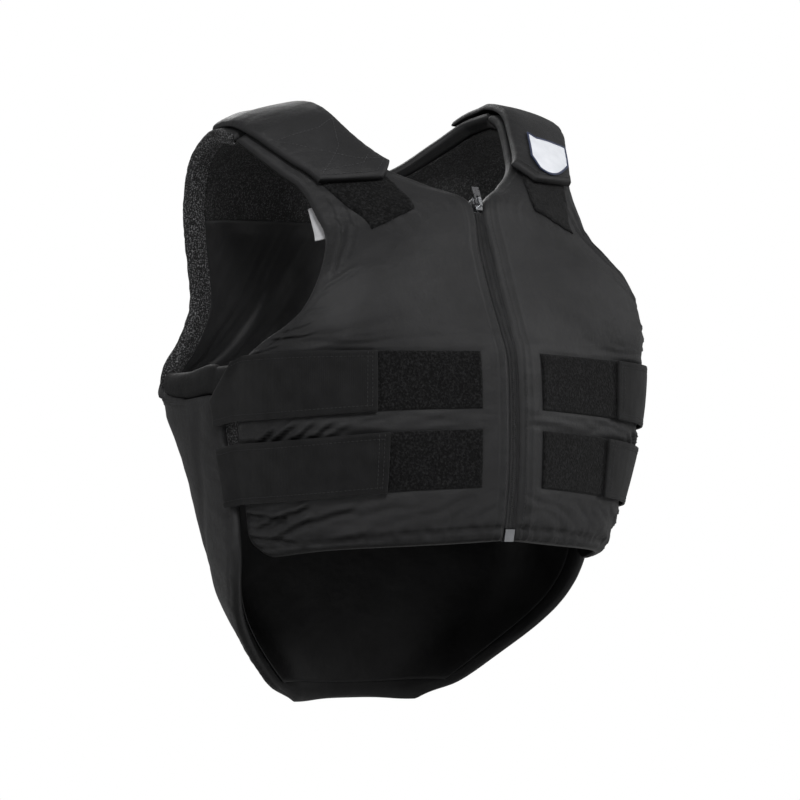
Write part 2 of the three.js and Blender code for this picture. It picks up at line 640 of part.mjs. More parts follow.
// A plain badge on the left flap, with its lower corners taken off.
const BADGE_PLACE = { from: 0.23, to: 0.9, low: 0.045, high: 0.53, corner: 0.17, round: 2 };
function badgePatch() {
  const grid = (height) =>
    between(0, 1, 6).map((t) => between(0, 1, 6).map((f) => {
      const low = BADGE_PLACE.low + BADGE_PLACE.corner * Math.abs(2 * f - 1) ** BADGE_PLACE.round;
      const across = BADGE_PLACE.from + (BADGE_PLACE.to - BADGE_PLACE.from) * f;
      return onFlap(across, low + (BADGE_PLACE.high - low) * t, FLAP_PAD + GAP + height);
    }));
  return closeGrids(grid(BADGE), grid(0));
}

// A blank label sewn inside the front's armhole edge. It stands out past it, most at its lower end.
const TAG_PLACE = { low: 8.2, high: 9.45, out: 9, outHigh: 1.5, tuck: 0.93 };
function careTag() {
  const grid = (height) =>
    between(TAG_PLACE.low, TAG_PLACE.high, 3).map((p) => {
      const edge = frontSurface.at(1, p);
      const out = edge.clone().sub(frontSurface.at(0.97, p)).normalize();
      const normal = frontSurface.normal(1, p);
      const base = sunk(frontPanel, TAG_PLACE.tuck, p, GAP + height);
      const rim = edge.clone().addScaledVector(normal, -PAD - GAP - height);
      const share = (p - TAG_PLACE.low) / (TAG_PLACE.high - TAG_PLACE.low);
      const reach = TAG_PLACE.out + (TAG_PLACE.outHigh - TAG_PLACE.out) * share;
      return [base, rim, rim.clone().addScaledVector(out, reach)];
    });
  return closeGrids(grid(0), grid(TAG));
}

// Mesh let in between the front panel's side and the wing, behind the straps.
function sideGusset() {
  const from = UPPER_STRAP_TOP + STRAP_HEIGHT;
  const rows = between(from, LOWER_STRAP_TOP + STRAP_HEIGHT, 5).map((down) => {
    const front = placeDown(frontSurface, 1, down, 0, SIDE_TOP_ROW);
    const back = placeDown(backSurface, 1, down, WING_START, WING_ROW);
    const a = frontSurface.at(1, front).addScaledVector(frontSurface.normal(1, front), -PAD / 2);
    const b = backSurface.at(1, back).addScaledVector(backSurface.normal(1, back), -PAD / 2);
    const way = b.clone().sub(a).normalize();
    a.addScaledVector(way, 2 * GAP);
    b.addScaledVector(way, -2 * GAP);
    return [a, a.clone().lerp(b, 0.5), b];
  });
  const grid = (sign) => rows.map((row) => row.map((p) => p.clone().setX(p.x + (sign * MESH) / 2)));
  return closeGrids(grid(1), grid(-1));
}

// The middle of the zip, in the plane of symmetry and halfway through the padding.
function zipLine(place) {
  const edge = frontSurface.at(0, place);
  return new THREE.Vector3(0, edge.y + PAD / 2, edge.z);
}
function zipPlaces() {
  const down = (distance) => placeDown(frontSurface, 0, distance, 0, NECK_ROW);
  const from = down(FRONT_LENGTH - STOP_LENGTH - GAP);
  const to = down(-frontSurface.at(0, NECK_ROW).z + SLIDER_LENGTH - SLIDER_ABOVE + GAP);
  return [from, ...frontPanel.places.filter((p) => p > from + 0.1 && p < to - 0.1), to];
}
function ribbon(places, left, right, thick) {
  const grid = (sign) => places.map((p) => [left, right].map((side) => {
    const point = zipLine(p);
    const x = typeof side === "function" ? side(p) : side;
    return new THREE.Vector3(x, point.y + (sign * thick) / 2, point.z);
  }));
  return closeGrids(grid(-1), grid(1));
}
const panelRim = (place) =>
  frontSurface.at(0, place).addScaledVector(frontSurface.normal(0, place), -PAD / 2).x - GAP;

const wasm = await Module();
wasm.setup();
function toManifold(geometry) {
  const bare = geometry.clone();
  bare.deleteAttribute("normal");
  bare.deleteAttribute("uv");
  const merged = mergeVertices(bare, 1e-4);
  const vertProperties = new Float32Array(merged.attributes.position.array);
  const triVerts = new Uint32Array(merged.index.array);
  return new wasm.Manifold(new wasm.Mesh({ numProp: 3, vertProperties, triVerts }));
}
function fromManifold(solid) {
  const { vertProperties, triVerts } = solid.getMesh();
  const geometry = new THREE.BufferGeometry();
  geometry.setAttribute("position", new THREE.Float32BufferAttribute(vertProperties, 3));
  geometry.setIndex(Array.from(triVerts));
  return geometry;
}
function block(width, height, depth) {
  return new THREE.BoxGeometry(width, height, depth);
}

// The slider's own frame: +Z away from the wearer, +Y up the zip, its origin on the slider's face.
function sliderFrame() {
  const place = placeDown(
    frontSurface, 0, -frontSurface.at(0, NECK_ROW).z + SLIDER_LENGTH / 2 - SLIDER_ABOVE, 0, NECK_ROW);
  const up = zipLine(place + 0.05).sub(zipLine(place - 0.05)).normalize();
  const across = new THREE.Vector3(1, 0, 0);
  const out = across.clone().cross(up);
  const frame = new THREE.Matrix4().makeBasis(across, up, out);
  return frame.setPosition(zipLine(place).addScaledVector(out, COIL_THICK / 2 + GAP + SLIDER_PLATE));
}

// The slider: a tapered body round the coil's end and a bridge that the pull hangs on.
function sliderSolid() {
  const depth = COIL_THICK + 2 * GAP + 2 * SLIDER_PLATE;
  const outline = new THREE.Shape();
  const [w, n, h] = [SLIDER_WIDTH / 2, SLIDER_WIDTH * SLIDER_NECK, SLIDER_LENGTH / 2];
  outline.moveTo(-n, -h);
  outline.lineTo(n, -h);
  outline.lineTo(w, h * 0.4);
  outline.quadraticCurveTo(w, h, w * 0.5, h);
  outline.lineTo(-w * 0.5, h);
  outline.quadraticCurveTo(-w, h, -w, h * 0.4);
  outline.closePath();
  const options = { depth, bevelEnabled: false, curveSegments: 4 };
  const body = new THREE.ExtrudeGeometry(outline, options).translate(0, 0, -depth);
  const bar = block(BRIDGE_WIDTH, 2 * BRIDGE_HALF, BRIDGE_BAR)
    .translate(0, 0, BRIDGE_RISE - BRIDGE_BAR / 2);
  const leg = (sign) => block(BRIDGE_WIDTH, BRIDGE_BAR, BRIDGE_RISE + 1)
    .translate(0, sign * (BRIDGE_HALF - BRIDGE_BAR / 2), (BRIDGE_RISE - 1) / 2);
  return fromManifold([bar, leg(1), leg(-1)].reduce((sum, g) => sum.add(toManifold(g)), toManifold(body)));
}

// The pull, turned up: its cross bar lies under the bridge, on the hinge's line.
function pullSolid() {
  const plate = block(PULL_WIDTH, PULL_LENGTH, PULL_THICK).translate(0, PULL_LENGTH / 2 - PULL_THICK / 2, 0);
  const window = block(PULL_WINDOW_WIDTH, PULL_WINDOW, 3 * PULL_THICK)
    .translate(0, PULL_THICK / 2 + PULL_WINDOW / 2, 0);
  return fromManifold(toManifold(plate).subtract(toManifold(window))).translate(0, 0, PIVOT_HEIGHT);
}

function placeHardware(name, material, geometry) {
  const lifted = geometry.clone().applyMatrix4(sliderFrame());
  const mesh = new THREE.Mesh(lifted, MATERIALS[material]);
  mesh.name = name;
  vest.add(mesh);
}

placePair("front_panel", "nylon", closeGrids(frontPanel.outside, frontPanel.inside));
place("back_panel", "nylon", backPadding());
const hemClear = (EDGE_ROUND + SKIN_CLEAR) / backSurface.at(0, 0).distanceTo(backSurface.at(0, 1));
place("back_lining", "lining", backSkin(hemClear, YOKE_ROW - YOKE_SEAM));
place("back_yoke", "mesh", backSkin(YOKE_ROW, backSurface.top - SHOULDER_CLEAR));
placePair("armhole_trim", "mesh", armholeTrim());
placePair("underarm_rim", "lining", underarmRim());
placePair("side_gusset", "mesh", sideGusset());
placePair("front_loop_upper", "loop", frontLoop(UPPER_STRAP_TOP));
placePair("front_loop_lower", "loop", frontLoop(LOWER_STRAP_TOP));
placePair("shoulder_loop", "loop", shoulderLoop());
placePair("side_strap_upper", "webbing", sideStrap(UPPER_STRAP_TOP, UPPER_STRAP_END, true));
placePair("side_strap_lower", "webbing", sideStrap(LOWER_STRAP_TOP, LOWER_STRAP_END, false));
placePair("shoulder_flap", "nylon", shoulderFlap());
place("badge_patch", "badge", badgePatch());
place("care_tag", "tag", mirrored(careTag()));
const zipRun = zipPlaces();
place("zip_coil", "zip", ribbon(zipRun, -COIL_WIDTH / 2, COIL_WIDTH / 2, COIL_THICK));
placePair("zip_tape", "zip", ribbon(zipRun, COIL_WIDTH / 2 + GAP, panelRim, TAPE_THICK));
const stopTop = placeDown(frontSurface, 0, FRONT_LENGTH - STOP_LENGTH, 0, NECK_ROW);
const stopRun = [STOP_START, stopTop];
place("zip_stop", "metal", ribbon(stopRun, -STOP_WIDTH / 2, STOP_WIDTH / 2, COIL_THICK + 2 * TAPE_THICK));
placeHardware("zip_slider", "slider", sliderSolid());
placeHardware("zip_pull", "slider", pullSolid());

export default vest;
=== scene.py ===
# Looks of the equestrian body protector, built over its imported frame.
# Lengths are in millimetres, as in the part's source, until a mesh is made.
import math
import bmesh
import bpy
import numpy as np
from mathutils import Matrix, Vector, kdtree


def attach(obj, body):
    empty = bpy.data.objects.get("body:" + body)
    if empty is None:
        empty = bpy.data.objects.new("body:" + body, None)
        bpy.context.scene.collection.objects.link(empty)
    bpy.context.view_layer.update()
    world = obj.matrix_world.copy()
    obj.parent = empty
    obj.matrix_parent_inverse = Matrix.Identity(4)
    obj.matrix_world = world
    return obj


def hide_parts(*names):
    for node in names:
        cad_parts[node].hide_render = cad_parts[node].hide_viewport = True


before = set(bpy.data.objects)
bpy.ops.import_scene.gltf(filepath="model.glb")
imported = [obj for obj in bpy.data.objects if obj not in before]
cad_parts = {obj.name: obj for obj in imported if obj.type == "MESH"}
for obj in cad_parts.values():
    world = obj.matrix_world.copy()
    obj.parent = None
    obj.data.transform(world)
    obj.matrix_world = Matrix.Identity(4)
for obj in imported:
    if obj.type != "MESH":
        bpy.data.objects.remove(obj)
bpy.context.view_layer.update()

# Camera

TARGET = Vector((0, 0, -0.26))
CAMERA_AZIMUTH = math.radians(-34)
CAMERA_ELEVATION = math.radians(-3)
CAMERA_DISTANCE, CAMERA_LENS = 3.0, 145.2
back = Vector((math.sin(CAMERA_AZIMUTH) * math.cos(CAMERA_ELEVATION),
               -math.cos(CAMERA_AZIMUTH) * math.cos(CAMERA_ELEVATION), math.sin(CAMERA_ELEVATION)))
camera_data = bpy.data.cameras.new("camera")
camera_data.lens = CAMERA_LENS
camera_data.sensor_width = 36
camera = bpy.data.objects.new("camera", camera_data)
camera.location = TARGET + back * CAMERA_DISTANCE
camera.rotation_euler = (-back).to_track_quat("-Z", "Y").to_euler()
bpy.context.scene.collection.objects.link(camera)
bpy.context.scene.camera = camera

# Sizes, as in the part's source

HALF_WIDTH, FRONT_DEPTH, BACK_DEPTH = 208, 186, 103
FRONT_LENGTH, TAIL_LENGTH, LEFT_SHOULDER_LIFT = 393, 538, 7
PAD, PAD_EDGE, EDGE_ROUND = 13, 4.5, 13
FLAP_PAD, FLAP_EDGE, FLAP_ROUND = 7, 3, 7
LINING, WEBBING, LOOP_TAPE, MESH, BADGE, TAG, GAP = 1.2, 2.4, 1.8, 1.2, 1.2, 1.0, 0.7
ZIP_GAP, TAPE_THICK = 8, 1.2
STOP_LENGTH, SLIDER_LENGTH, SLIDER_ABOVE = 11, 13, 3
STRAP_HEIGHT, UPPER_STRAP_TOP, LOWER_STRAP_TOP = 50, 225, 294
LOOP_INSET, LOOP_REACH, UPPER_STRAP_END, LOWER_STRAP_END = 26, 139, 126, 114
STRAP_BRIDGE, STRAP_ON_WING, STRAP_SAG, STRAP_SLANT = 8, 4, 3, 1.1
UNDERARM_HEIGHT, UNDERARM_TUCK, UNDERARM_CLEAR, UNDERARM_RISE = 27, 22, 0.1, 0.8
NAPE_CLEAR, YOKE_ROW, SHOULDER_CLEAR = 0.9, 15.6, 0.4
NAPE_FILL = 4.5  # how far the back neckline is rounded up at the middle

FRONT_TABLE = [
    [0, 0.946, 1.0, 0.88, 0.27, 1.036, 14, 4, 74, 4, 0.45, 0.42],
    [0, 0.968, 0.95, 0.899, 0.18, 0.99, 14, 3, 84, 2, 0.48, 0.45],
    [0, 0.995, 0.845, 0.938, 0.204, 0.882, 15, 2, 86, 1, 0.52, 0.47],
    [0, 1.0, 0.705, 0.981, 0.226, 0.735, 15, 1, 88, 0, 0.56, 0.5],
    [0, 0.984, 0.587, 0.99, 0.28, 0.6, 15, 1, 88, 0, 0.58, 0.5],
    [0, 0.925, 0.515, 0.962, 0.56, 0.535, 13, 1, 66, 0, 0.5, 0.42],
    [0, 0.85, 0.438, 0.89, 0.672, 0.474, 8, 2, 50, 3, 0.42, 0.4],
    [0, 0.763, 0.336, 0.822, 0.688, 0.396, 5, 4, 36, 6, 0.38, 0.38],
    [0, 0.683, 0.22, 0.712, 0.56, 0.3, 2, 6, 24, 8, 0.36, 0.36],
    [0.149, 0.554, 0.172, 0.707, 0.47, 0.24, -6, 8, 18, 12, 0.34, 0.34],
    [0.29, 0.42, 0.127, 0.721, 0.37, 0.175, -10, 8, 10, 16, 0.34, 0.34],
    [0.36, 0.3, 0.076, 0.774, 0.27, 0.13, -10, 8, 4, 20, 0.34, 0.34],
    [0.422, 0.15, 0.004, 0.832, 0.152, 0.08, -8, 8, 0, 26, 0.34, 0.34],
    [0.439, 0.05, -0.024, 0.878, 0.055, 0.041, 0, 8, 0, 30, 0.34, 0.34],
]
BACK_TABLE = [
    [0, 0.893, 1.0, 0.34, 0.8, 0.998, 0, 0, -24, 0, 0.35, 0.35],
    [0, 0.903, 0.976, 0.51, 0.6, 0.979, 0, 0, -38, 0, 0.4, 0.38],
    [0, 0.913, 0.937, 0.69, 0.36, 0.925, 0, 0, -52, 0, 0.5, 0.4],
    [0, 0.922, 0.887, 0.838, 0.08, 0.866, 0, 0, -68, 0, 0.56, 0.42],
    [0, 0.922, 0.822, 0.918, -0.14, 0.809, 0, 0, -80, 0, 0.6, 0.46],
    [0, 0.922, 0.747, 0.955, -0.28, 0.742, 0, 0, -87, 0, 0.63, 0.5],
    [0, 0.925, 0.664, 0.965, -0.27, 0.664, 0, 0, -90, 0, 0.68, 0.58],
    [0, 0.94, 0.571, 0.985, -0.19, 0.571, 0, 0, -93, 0, 0.71, 0.64],
    [0, 0.955, 0.5, 1.005, -0.13, 0.493, 0, 0, -94, -8, 0.74, 0.7],
    [0, 0.965, 0.466, 1.015, 0.36, 0.492, 0, 0, -92, 0, 0.74, 0.46],
    [0, 0.975, 0.45, 1.01, 0.76, 0.476, 0, 0, -76, 0, 0.7, 0.3],
    [0, 0.985, 0.413, 0.97, 0.87, 0.43, 0, 0, -50, 0, 0.6, 0.3],
    [0, 0.992, 0.366, 0.882, 0.91, 0.38, 0, 0, -30, 0, 0.5, 0.3],
    [0, 1.0, 0.31, 0.82, 0.93, 0.32, 0, 0, -22, 0, 0.45, 0.3],
    [0, 1.0, 0.245, 0.828, 0.93, 0.255, 0, 0, -20, 2, 0.42, 0.3],
    [0, 0.985, 0.19, 0.85, 0.915, 0.195, 0, 0, -18, 6, 0.4, 0.3],
    [0, 0.95, 0.14, 0.868, 0.88, 0.139, 0, 0, -14, 10, 0.38, 0.32],
    [0, 0.885, 0.091, 0.88, 0.8, 0.088, 0, 0, -10, 16, 0.36, 0.34],
    [0.22, 0.8, 0.062, 0.887, 0.69, 0.052, 0, 2, -6, 20, 0.34, 0.34],
    [0.38, 0.602, 0.018, 0.89, 0.52, 0.026, 0, 6, 0, 24, 0.34, 0.34],
    [0.462, 0.35, -0.014, 0.89, 0.28, 0.011, 0, 8, 0, 28, 0.34, 0.34],
    [0.4805, 0.0, -0.0226, 0.885, -0.025, 0.024, 0, 8, 0, 30, 0.34, 0.34],
]
NECK_ROW, SIDE_TOP_ROW = 8, 4
WING_START, WING_ROW, ARM_ROW, NAPE_ROW = 4, 8, 10, 17

# Noise

NOISE_TURNS = np.random.default_rng(11).random((256, 256)) * 2 * math.pi


def noise(x, y):
    """Smooth gradient noise, about -0.7 to 0.7, with features about one unit across."""
    x, y = np.broadcast_arrays(np.asarray(x, float), np.asarray(y, float))
    i, j = np.floor(x).astype(int), np.floor(y).astype(int)
    f, g = x - i, y - j
    ease = lambda t: t * t * t * (t * (6 * t - 15) + 10)

    def corner(a, b):
        turn = NOISE_TURNS[(i + a) % 256, (j + b) % 256]
        return np.cos(turn) * (f - a) + np.sin(turn) * (g - b)

    low = corner(0, 0) + ease(f) * (corner(1, 0) - corner(0, 0))
    high = corner(0, 1) + ease(f) * (corner(1, 1) - corner(0, 1))
    return low + ease(g) * (high - low)


def crease(x, y):
    """Noise with sharp valleys and rounded ridges, 0 to 1, like gathered cloth."""
    return 1 - np.exp(-3.2 * np.abs(noise(x, y)))


# Panels' surfaces


def smooth(t):
    return t * t * (3 - 2 * t)


def bell(value, middle, half_width):
    """1 at the middle, fading on both sides."""
    return np.exp(-((value - middle) / half_width) ** 2)


def run_along(points):
    """Distance along rows of points, which lie along the last axis but one."""
    steps = np.linalg.norm(np.diff(points, axis=-2), axis=-1).cumsum(axis=-1)
    return np.concatenate([np.zeros(steps.shape[:-1] + (1,)), steps], axis=-1)


def within(value, low, high, soft):
    """1 between two limits, fading to 0 over a soft distance outside them."""
    a = np.clip((value - low) / soft + 1, 0, 1)
    b = np.clip((high - value) / soft + 1, 0, 1)
    return smooth(a * b)


def heading(turn, dip):
    a, b = math.radians(turn), math.radians(dip)
    return np.array([math.cos(a) * math.cos(b), math.sin(a) * math.cos(b), -math.sin(b)])


def bernstein(t):
    s = 1 - t
    return np.stack([s ** 3, 3 * s * s * t, 3 * s * t * t, t ** 3], axis=-1)


class Skin:
    """The crown surface of a panel, read at a share of the way across and a place counted in sections."""

    ACROSS, PER_SECTION = 160, 14
    STEADY_SHARE = 0.88  # where the wing's corner takes its normals from

    def __init__(self, table, start, depth, length, side, facing, seam_top):
        ends = []
        for row in table:
            inner = np.array([start + row[0] * HALF_WIDTH, side * row[1] * depth, -row[2] * length])
            outer = np.array([row[3] * HALF_WIDTH, side * row[4] * depth, -row[5] * length])
            span = np.linalg.norm(outer - inner)
            ends.append([inner, inner + heading(row[6], row[7]) * row[10] * span,
                         outer - heading(row[8], row[9]) * row[11] * span, outer])
        self.controls = np.array(ends)
        self.top = len(table) - 1
        self.seam_top = seam_top
        places = np.linspace(0, self.top, self.top * self.PER_SECTION + 1)
        shares = np.linspace(0, 1, self.ACROSS + 1)
        crown, width = self._points(places, np.broadcast_to(shares, (len(places), len(shares))))
        if seam_top:
            nape = np.interp(seam_top, places, crown[:, 0, 2])
            crown[..., 2] += NAPE_FILL * bell(crown[..., 0], 0, 6) * bell(crown[..., 2], nape, 12)
        du, dv = np.gradient(crown, axis=1), np.gradient(crown, axis=0)
        normal = np.cross(du, dv) * facing
        normal /= np.linalg.norm(normal, axis=-1, keepdims=True)
        if seam_top:
            normal[places <= seam_top, 0, 0] = 0
            corner = within(places, WING_ROW + 0.2, ARM_ROW - 0.9, 0.25)[:, None]
            corner = corner * within(shares, 0.94, 2, 0.05)[None]
            steady = normal[:, int(self.STEADY_SHARE * self.ACROSS), None]
            normal += (steady - normal) * corner[..., None]
            normal /= np.linalg.norm(normal, axis=-1, keepdims=True)
        steps = np.linalg.norm(np.diff(crown, axis=0), axis=-1)
        along = np.concatenate([np.zeros((1, len(shares))), np.cumsum(steps, axis=0)])
        self.fields = {"crown": crown, "normal": normal, "along": along,
                       "width": np.repeat(width[:, None], len(shares), axis=1)}
        self.fields["edge"] = self._edge(crown, places, seam_top)
        self.length = along[-1].mean()

    def _points(self, places, shares):
        last = len(self.controls) - 1
        i = np.clip(np.floor(places).astype(int), 0, last - 1)
        f = (places - i)[:, None, None]
        p, q, r, s = (self.controls[np.clip(i + k, 0, last)] for k in (-1, 0, 1, 2))
        c = q + 0.5 * f * (r - p + f * (2 * p - 5 * q + 4 * r - s + f * (3 * (q - r) + s - p)))
        t = np.linspace(0, 1, 65)
        line = np.einsum("tk,mkc->mtc", bernstein(t), c)
        run = run_along(line)
        at = np.stack([np.interp(sh * r[-1], r, t) for sh, r in zip(shares, run)])
        return np.einsum("mtk,mkc->mtc", bernstein(at), c), run[:, -1]

    def _edge(self, crown, places, seam_top):
        start = int(np.searchsorted(places, seam_top))
        runs = [crown[0], crown[:, -1], crown[-1], crown[start:, 0]]
        points = []
        for run in runs:
            for a, b in zip(run[:-1], run[1:]):
                count = max(1, int(np.linalg.norm(b - a) / 0.8))
                points.extend(a + (b - a) * (n / count) for n in range(count + 1))
        tree = kdtree.KDTree(len(points))
        for n, point in enumerate(points):
            tree.insert(point, n)
        tree.balance()
        return np.array([[tree.find(p)[2] for p in row] for row in crown])

    def get(self, name, share, place):
        field = self.fields[name]
        share, place = np.broadcast_arrays(np.asarray(share, float), np.asarray(place, float))
        x = np.clip(share, 0, 1) * self.ACROSS
        y = np.clip(place, 0, self.top) * self.PER_SECTION
        i = np.clip(np.floor(x).astype(int), 0, field.shape[1] - 2)
        j = np.clip(np.floor(y).astype(int), 0, field.shape[0] - 2)
        f, g = x - i, y - j
        if field.ndim == 3:
            f, g = f[..., None], g[..., None]
        low = field[j, i] * (1 - f) + field[j, i + 1] * f
        high = field[j + 1, i] * (1 - f) + field[j + 1, i + 1] * f
        return low * (1 - g) + high * g

    def half(self, share, place):
        short = 1 - np.minimum(1, self.get("edge", share, place) / EDGE_ROUND)
        return PAD_EDGE / 2 + (PAD - PAD_EDGE) / 2 * np.sqrt(1 - short * short)

    def raised(self, share, place, lift):
        normal = unit(self.get("normal", share, place))
        return self.get("crown", share, place) + normal * np.asarray(lift)[..., None]

    def place_down(self, share, down, low, high):
        for _ in range(40):
            middle = (low + high) / 2
            if -self.get("crown", share, middle)[2] > down:
                low = middle
            else:
                high = middle
        return (low + high) / 2


def unit(v):
    return v / np.maximum(1e-9, np.linalg.norm(v, axis=-1, keepdims=True))


front = Skin(FRONT_TABLE, ZIP_GAP, FRONT_DEPTH, FRONT_LENGTH, -1, 1, 0)
rear = Skin(BACK_TABLE, 0, BACK_DEPTH, TAIL_LENGTH, 1, -1, NAPE_ROW)


def settle(points):
    """Lifts the left shoulder and lowers the right one, as the vest hangs."""
    reach = FRONT_LENGTH * 0.62
    up = smooth(np.clip((points[..., 2] + reach) / reach, 0, 1))
    out = points.copy()
    out[..., 2] += 2 * LEFT_SHOULDER_LIFT * points[..., 0] * up / HALF_WIDTH
    return out


# Meshes

RIM_STEPS = 3
BESIDE = (0.6, 1.6, 3.0, 5.0, 7.5, 10.5)  # lines of a panel's mesh beside its free edges
CLOSE_REACH = 12.5


def make(name, points, faces, material, uv=None, mirror=False, weld=0, nodes=(), inside=None):
    """A piece from points in millimetres, seated in the frame and riding on its body."""
    points = np.asarray(points, float)
    if mirror:
        points = points * [-1, 1, 1]
    points = settle(points)
    mesh = bpy.data.meshes.new(name)
    mesh.from_pydata((points / 1000).tolist(), [], [tuple(int(k) for k in f) for f in faces])
    if uv is not None:
        layer = mesh.uv_layers.new(name="UVMap")
        index = np.empty(len(mesh.loops), int)
        mesh.loops.foreach_get("vertex_index", index)
        layer.data.foreach_set("uv", (np.asarray(uv, float)[index] / 1000).ravel())
    if inside is not None:
        flags = np.zeros(len(points), bool)
        for first, last in inside[1:]:
            flags[first:last] = True
        mesh.attributes.new("inner", "BOOLEAN", "POINT").data.foreach_set("value", flags)
    bm = bmesh.new()
    bm.from_mesh(mesh)
    if weld:
        bmesh.ops.remove_doubles(bm, verts=bm.verts, dist=weld / 1000)
    bmesh.ops.recalc_face_normals(bm, faces=bm.faces)
    bm.to_mesh(mesh)
    bm.free()
    mesh.shade_smooth()
    mesh.materials.append(material)
    if inside is not None:
        mesh.materials.append(inside[0])
        flags = np.empty(len(mesh.vertices), bool)
        mesh.attributes["inner"].data.foreach_get("value", flags)
        for polygon in mesh.polygons:
            polygon.material_index = int(all(flags[k] for k in polygon.vertices))
        mesh.attributes.remove(mesh.attributes["inner"])
    piece = bpy.data.objects.new(name, mesh)
    bpy.context.scene.collection.objects.link(piece)
    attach(piece, "vest")
    if nodes:
        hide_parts(*nodes)
    return piece


def shell(top, bottom, uv, bulge=0.0, seam_rows=0):
    """A closed skin round two grids of points, with a rounded rim.

    The first seam_rows of the left side stay open.
    """
    rows, columns = top.shape[:2]
    faces = []
    base = rows * columns
    j, i = np.meshgrid(np.arange(rows - 1), np.arange(columns - 1), indexing="ij")
    a = (j * columns + i).ravel()
    faces.append(np.stack([a, a + 1, a + columns + 1, a + columns], axis=1))
    faces.append(np.stack([a, a + columns, a + columns + 1, a + 1], axis=1) + base)
    loop = [(0, i) for i in range(columns)] + [(j, columns - 1) for j in range(1, rows)]
    loop += [(rows - 1, i) for i in range(columns - 2, -1, -1)] + [(j, 0) for j in range(rows - 2, 0, -1)]
    loop = np.array(loop)
    inner = np.clip(loop, 1, [rows - 2, columns - 2])
    if seam_rows:
        on_seam = (loop[:, 1] == 0) & (loop[:, 0] < seam_rows)
        inner[on_seam & (loop[:, 0] == 0), 1] = 0
    t, b = top[loop[:, 0], loop[:, 1]], bottom[loop[:, 0], loop[:, 1]]
    out = unit(t + b - top[inner[:, 0], inner[:, 1]] - bottom[inner[:, 0], inner[:, 1]])
    rings = [loop[:, 0] * columns + loop[:, 1]]
    points = [top.reshape(-1, 3), bottom.reshape(-1, 3)]
    uvs = [uv.reshape(-1, 2)] * 2
    count = 2 * base
    for k in range(1, RIM_STEPS + 1):
        f = k / (RIM_STEPS + 1)
        points.append(t + (b - t) * f + out * bulge * math.sin(math.pi * f))
        rings.append(np.arange(len(loop)) + count)
        count += len(loop)
        uvs.append(uv[loop[:, 0], loop[:, 1]])
    rings.append(rings[0] + base)
    follow = np.roll(np.arange(len(loop)), -1)
    keep = np.ones(len(loop), bool)
    if seam_rows:
        keep = ~(on_seam & on_seam[follow])
    for p, q in zip(rings[:-1], rings[1:]):
        faces.append(np.stack([p, q, q[follow], p[follow]], axis=1)[keep])
    return np.concatenate(points), np.concatenate(faces), np.concatenate(uvs)


def doubled(points, faces, uv):
    """A half and its mirror image, to be welded along the middle."""
    flipped = faces[:, ::-1] + len(points)
    points = np.concatenate([points, points * [-1, 1, 1]])
    return points, np.concatenate([faces, flipped]), np.concatenate([uv, uv * [-1, 1]])


def even(skin, low, high, step):
    """Places from low to high, about a step apart along the skin."""
    fine = np.linspace(low, high, 800)
    run = skin.get("along", 0.5, fine)
    return np.interp(np.linspace(run[0], run[-1], max(3, int((run[-1] - run[0]) / step))), run, fine)


def closer(values, beside=BESIDE):
    """Adds lines close to both ends of a run of values measured in millimetres."""
    low, high = values[0], values[-1]
    extra = [low + b for b in beside] + [high - b for b in beside]
    keep = [v for v in values[1:-1] if low + CLOSE_REACH < v < high - CLOSE_REACH]
    return np.array(sorted([low, high] + keep + extra))


def panel_grid(skin, columns, row_step):
    """Shares and places of a panel's mesh: dense beside free edges."""
    run = closer(np.linspace(0, skin.length, int(skin.length / row_step)))
    fine = np.linspace(0, skin.top, 1200)
    along = skin.get("along", 0.5, fine) * skin.length / skin.get("along", 0.5, skin.top)
    places = np.interp(run, along, fine)
    if skin.seam_top:
        places[np.argmin(np.abs(places - skin.seam_top))] = skin.seam_top
    beside = np.array(BESIDE)
    shares = []
    for p in places:
        width = float(skin.get("width", 0.5, p))
        free = not (skin.seam_top and p < skin.seam_top)
        edge = beside / width
        start = np.concatenate([[0], edge]) if free else np.array([0.0])
        end = np.concatenate([1 - edge[::-1], [1]])
        fill = columns - len(start) - len(end)
        middle = np.linspace(start[-1], end[0], fill + 2)[1:-1]
        shares.append(np.concatenate([start, middle, end]))
    shares = np.array(shares)
    return shares, np.repeat(places[:, None], columns, axis=1)


def cells(skin, share, place):
    width, along = skin.get("width", share, place), skin.get("along", share, place)
    return share * width, along, width


# Folds of the padded cloth

UPPER = [front.place_down(0, UPPER_STRAP_TOP + STRAP_HEIGHT * k, 0, NECK_ROW) for k in (0, 1)]
LOWER = [front.place_down(0, LOWER_STRAP_TOP + STRAP_HEIGHT * k, 0, NECK_ROW) for k in (0, 1)]

HEM_SEAM, EDGE_SEAM = 12, 6.5  # how far the seams lie from the hem and from the panels' edges

# Single folds of a front panel: how far each end is from the outer edge and from the hem,
# then the half width and the height.
FRONT_STROKES = [
    (0, 171, 50, 179, 3.2, 1.7), (0, 179, 42, 190, 2.8, 1.5), (2, 190, 30, 203, 2.6, 1.2),
    (0, 226, 40, 222, 2.6, 1.5), (0, 238, 26, 244, 2.6, 0.9), (0, 262, 30, 258, 3.0, 1.0),
    (4, 286, 34, 300, 3.0, 1.0), (14, 98, 52, 119, 2.2, 2.9), (30, 98, 74, 120, 2.3, 3.1),
    (50, 97, 92, 119, 2.2, 2.8), (70, 98, 108, 118, 2.2, 2.2), (92, 99, 122, 115, 2.2, 1.4),
    (4, 49, 56, 38, 2.6, 3.0), (20, 34, 78, 48, 2.6, 3.2), (8, 28, 54, 18, 2.6, 2.4),
    (36, 22, 78, 37, 2.6, 2.4), (70, 33, 120, 44, 3.0, 1.6), (90, 14, 130, 22, 3.0, 1.1),
    (9, 305, 12, 395, 2.4, 1.5), (18, 318, 24, 392, 2.6, 1.2),
]


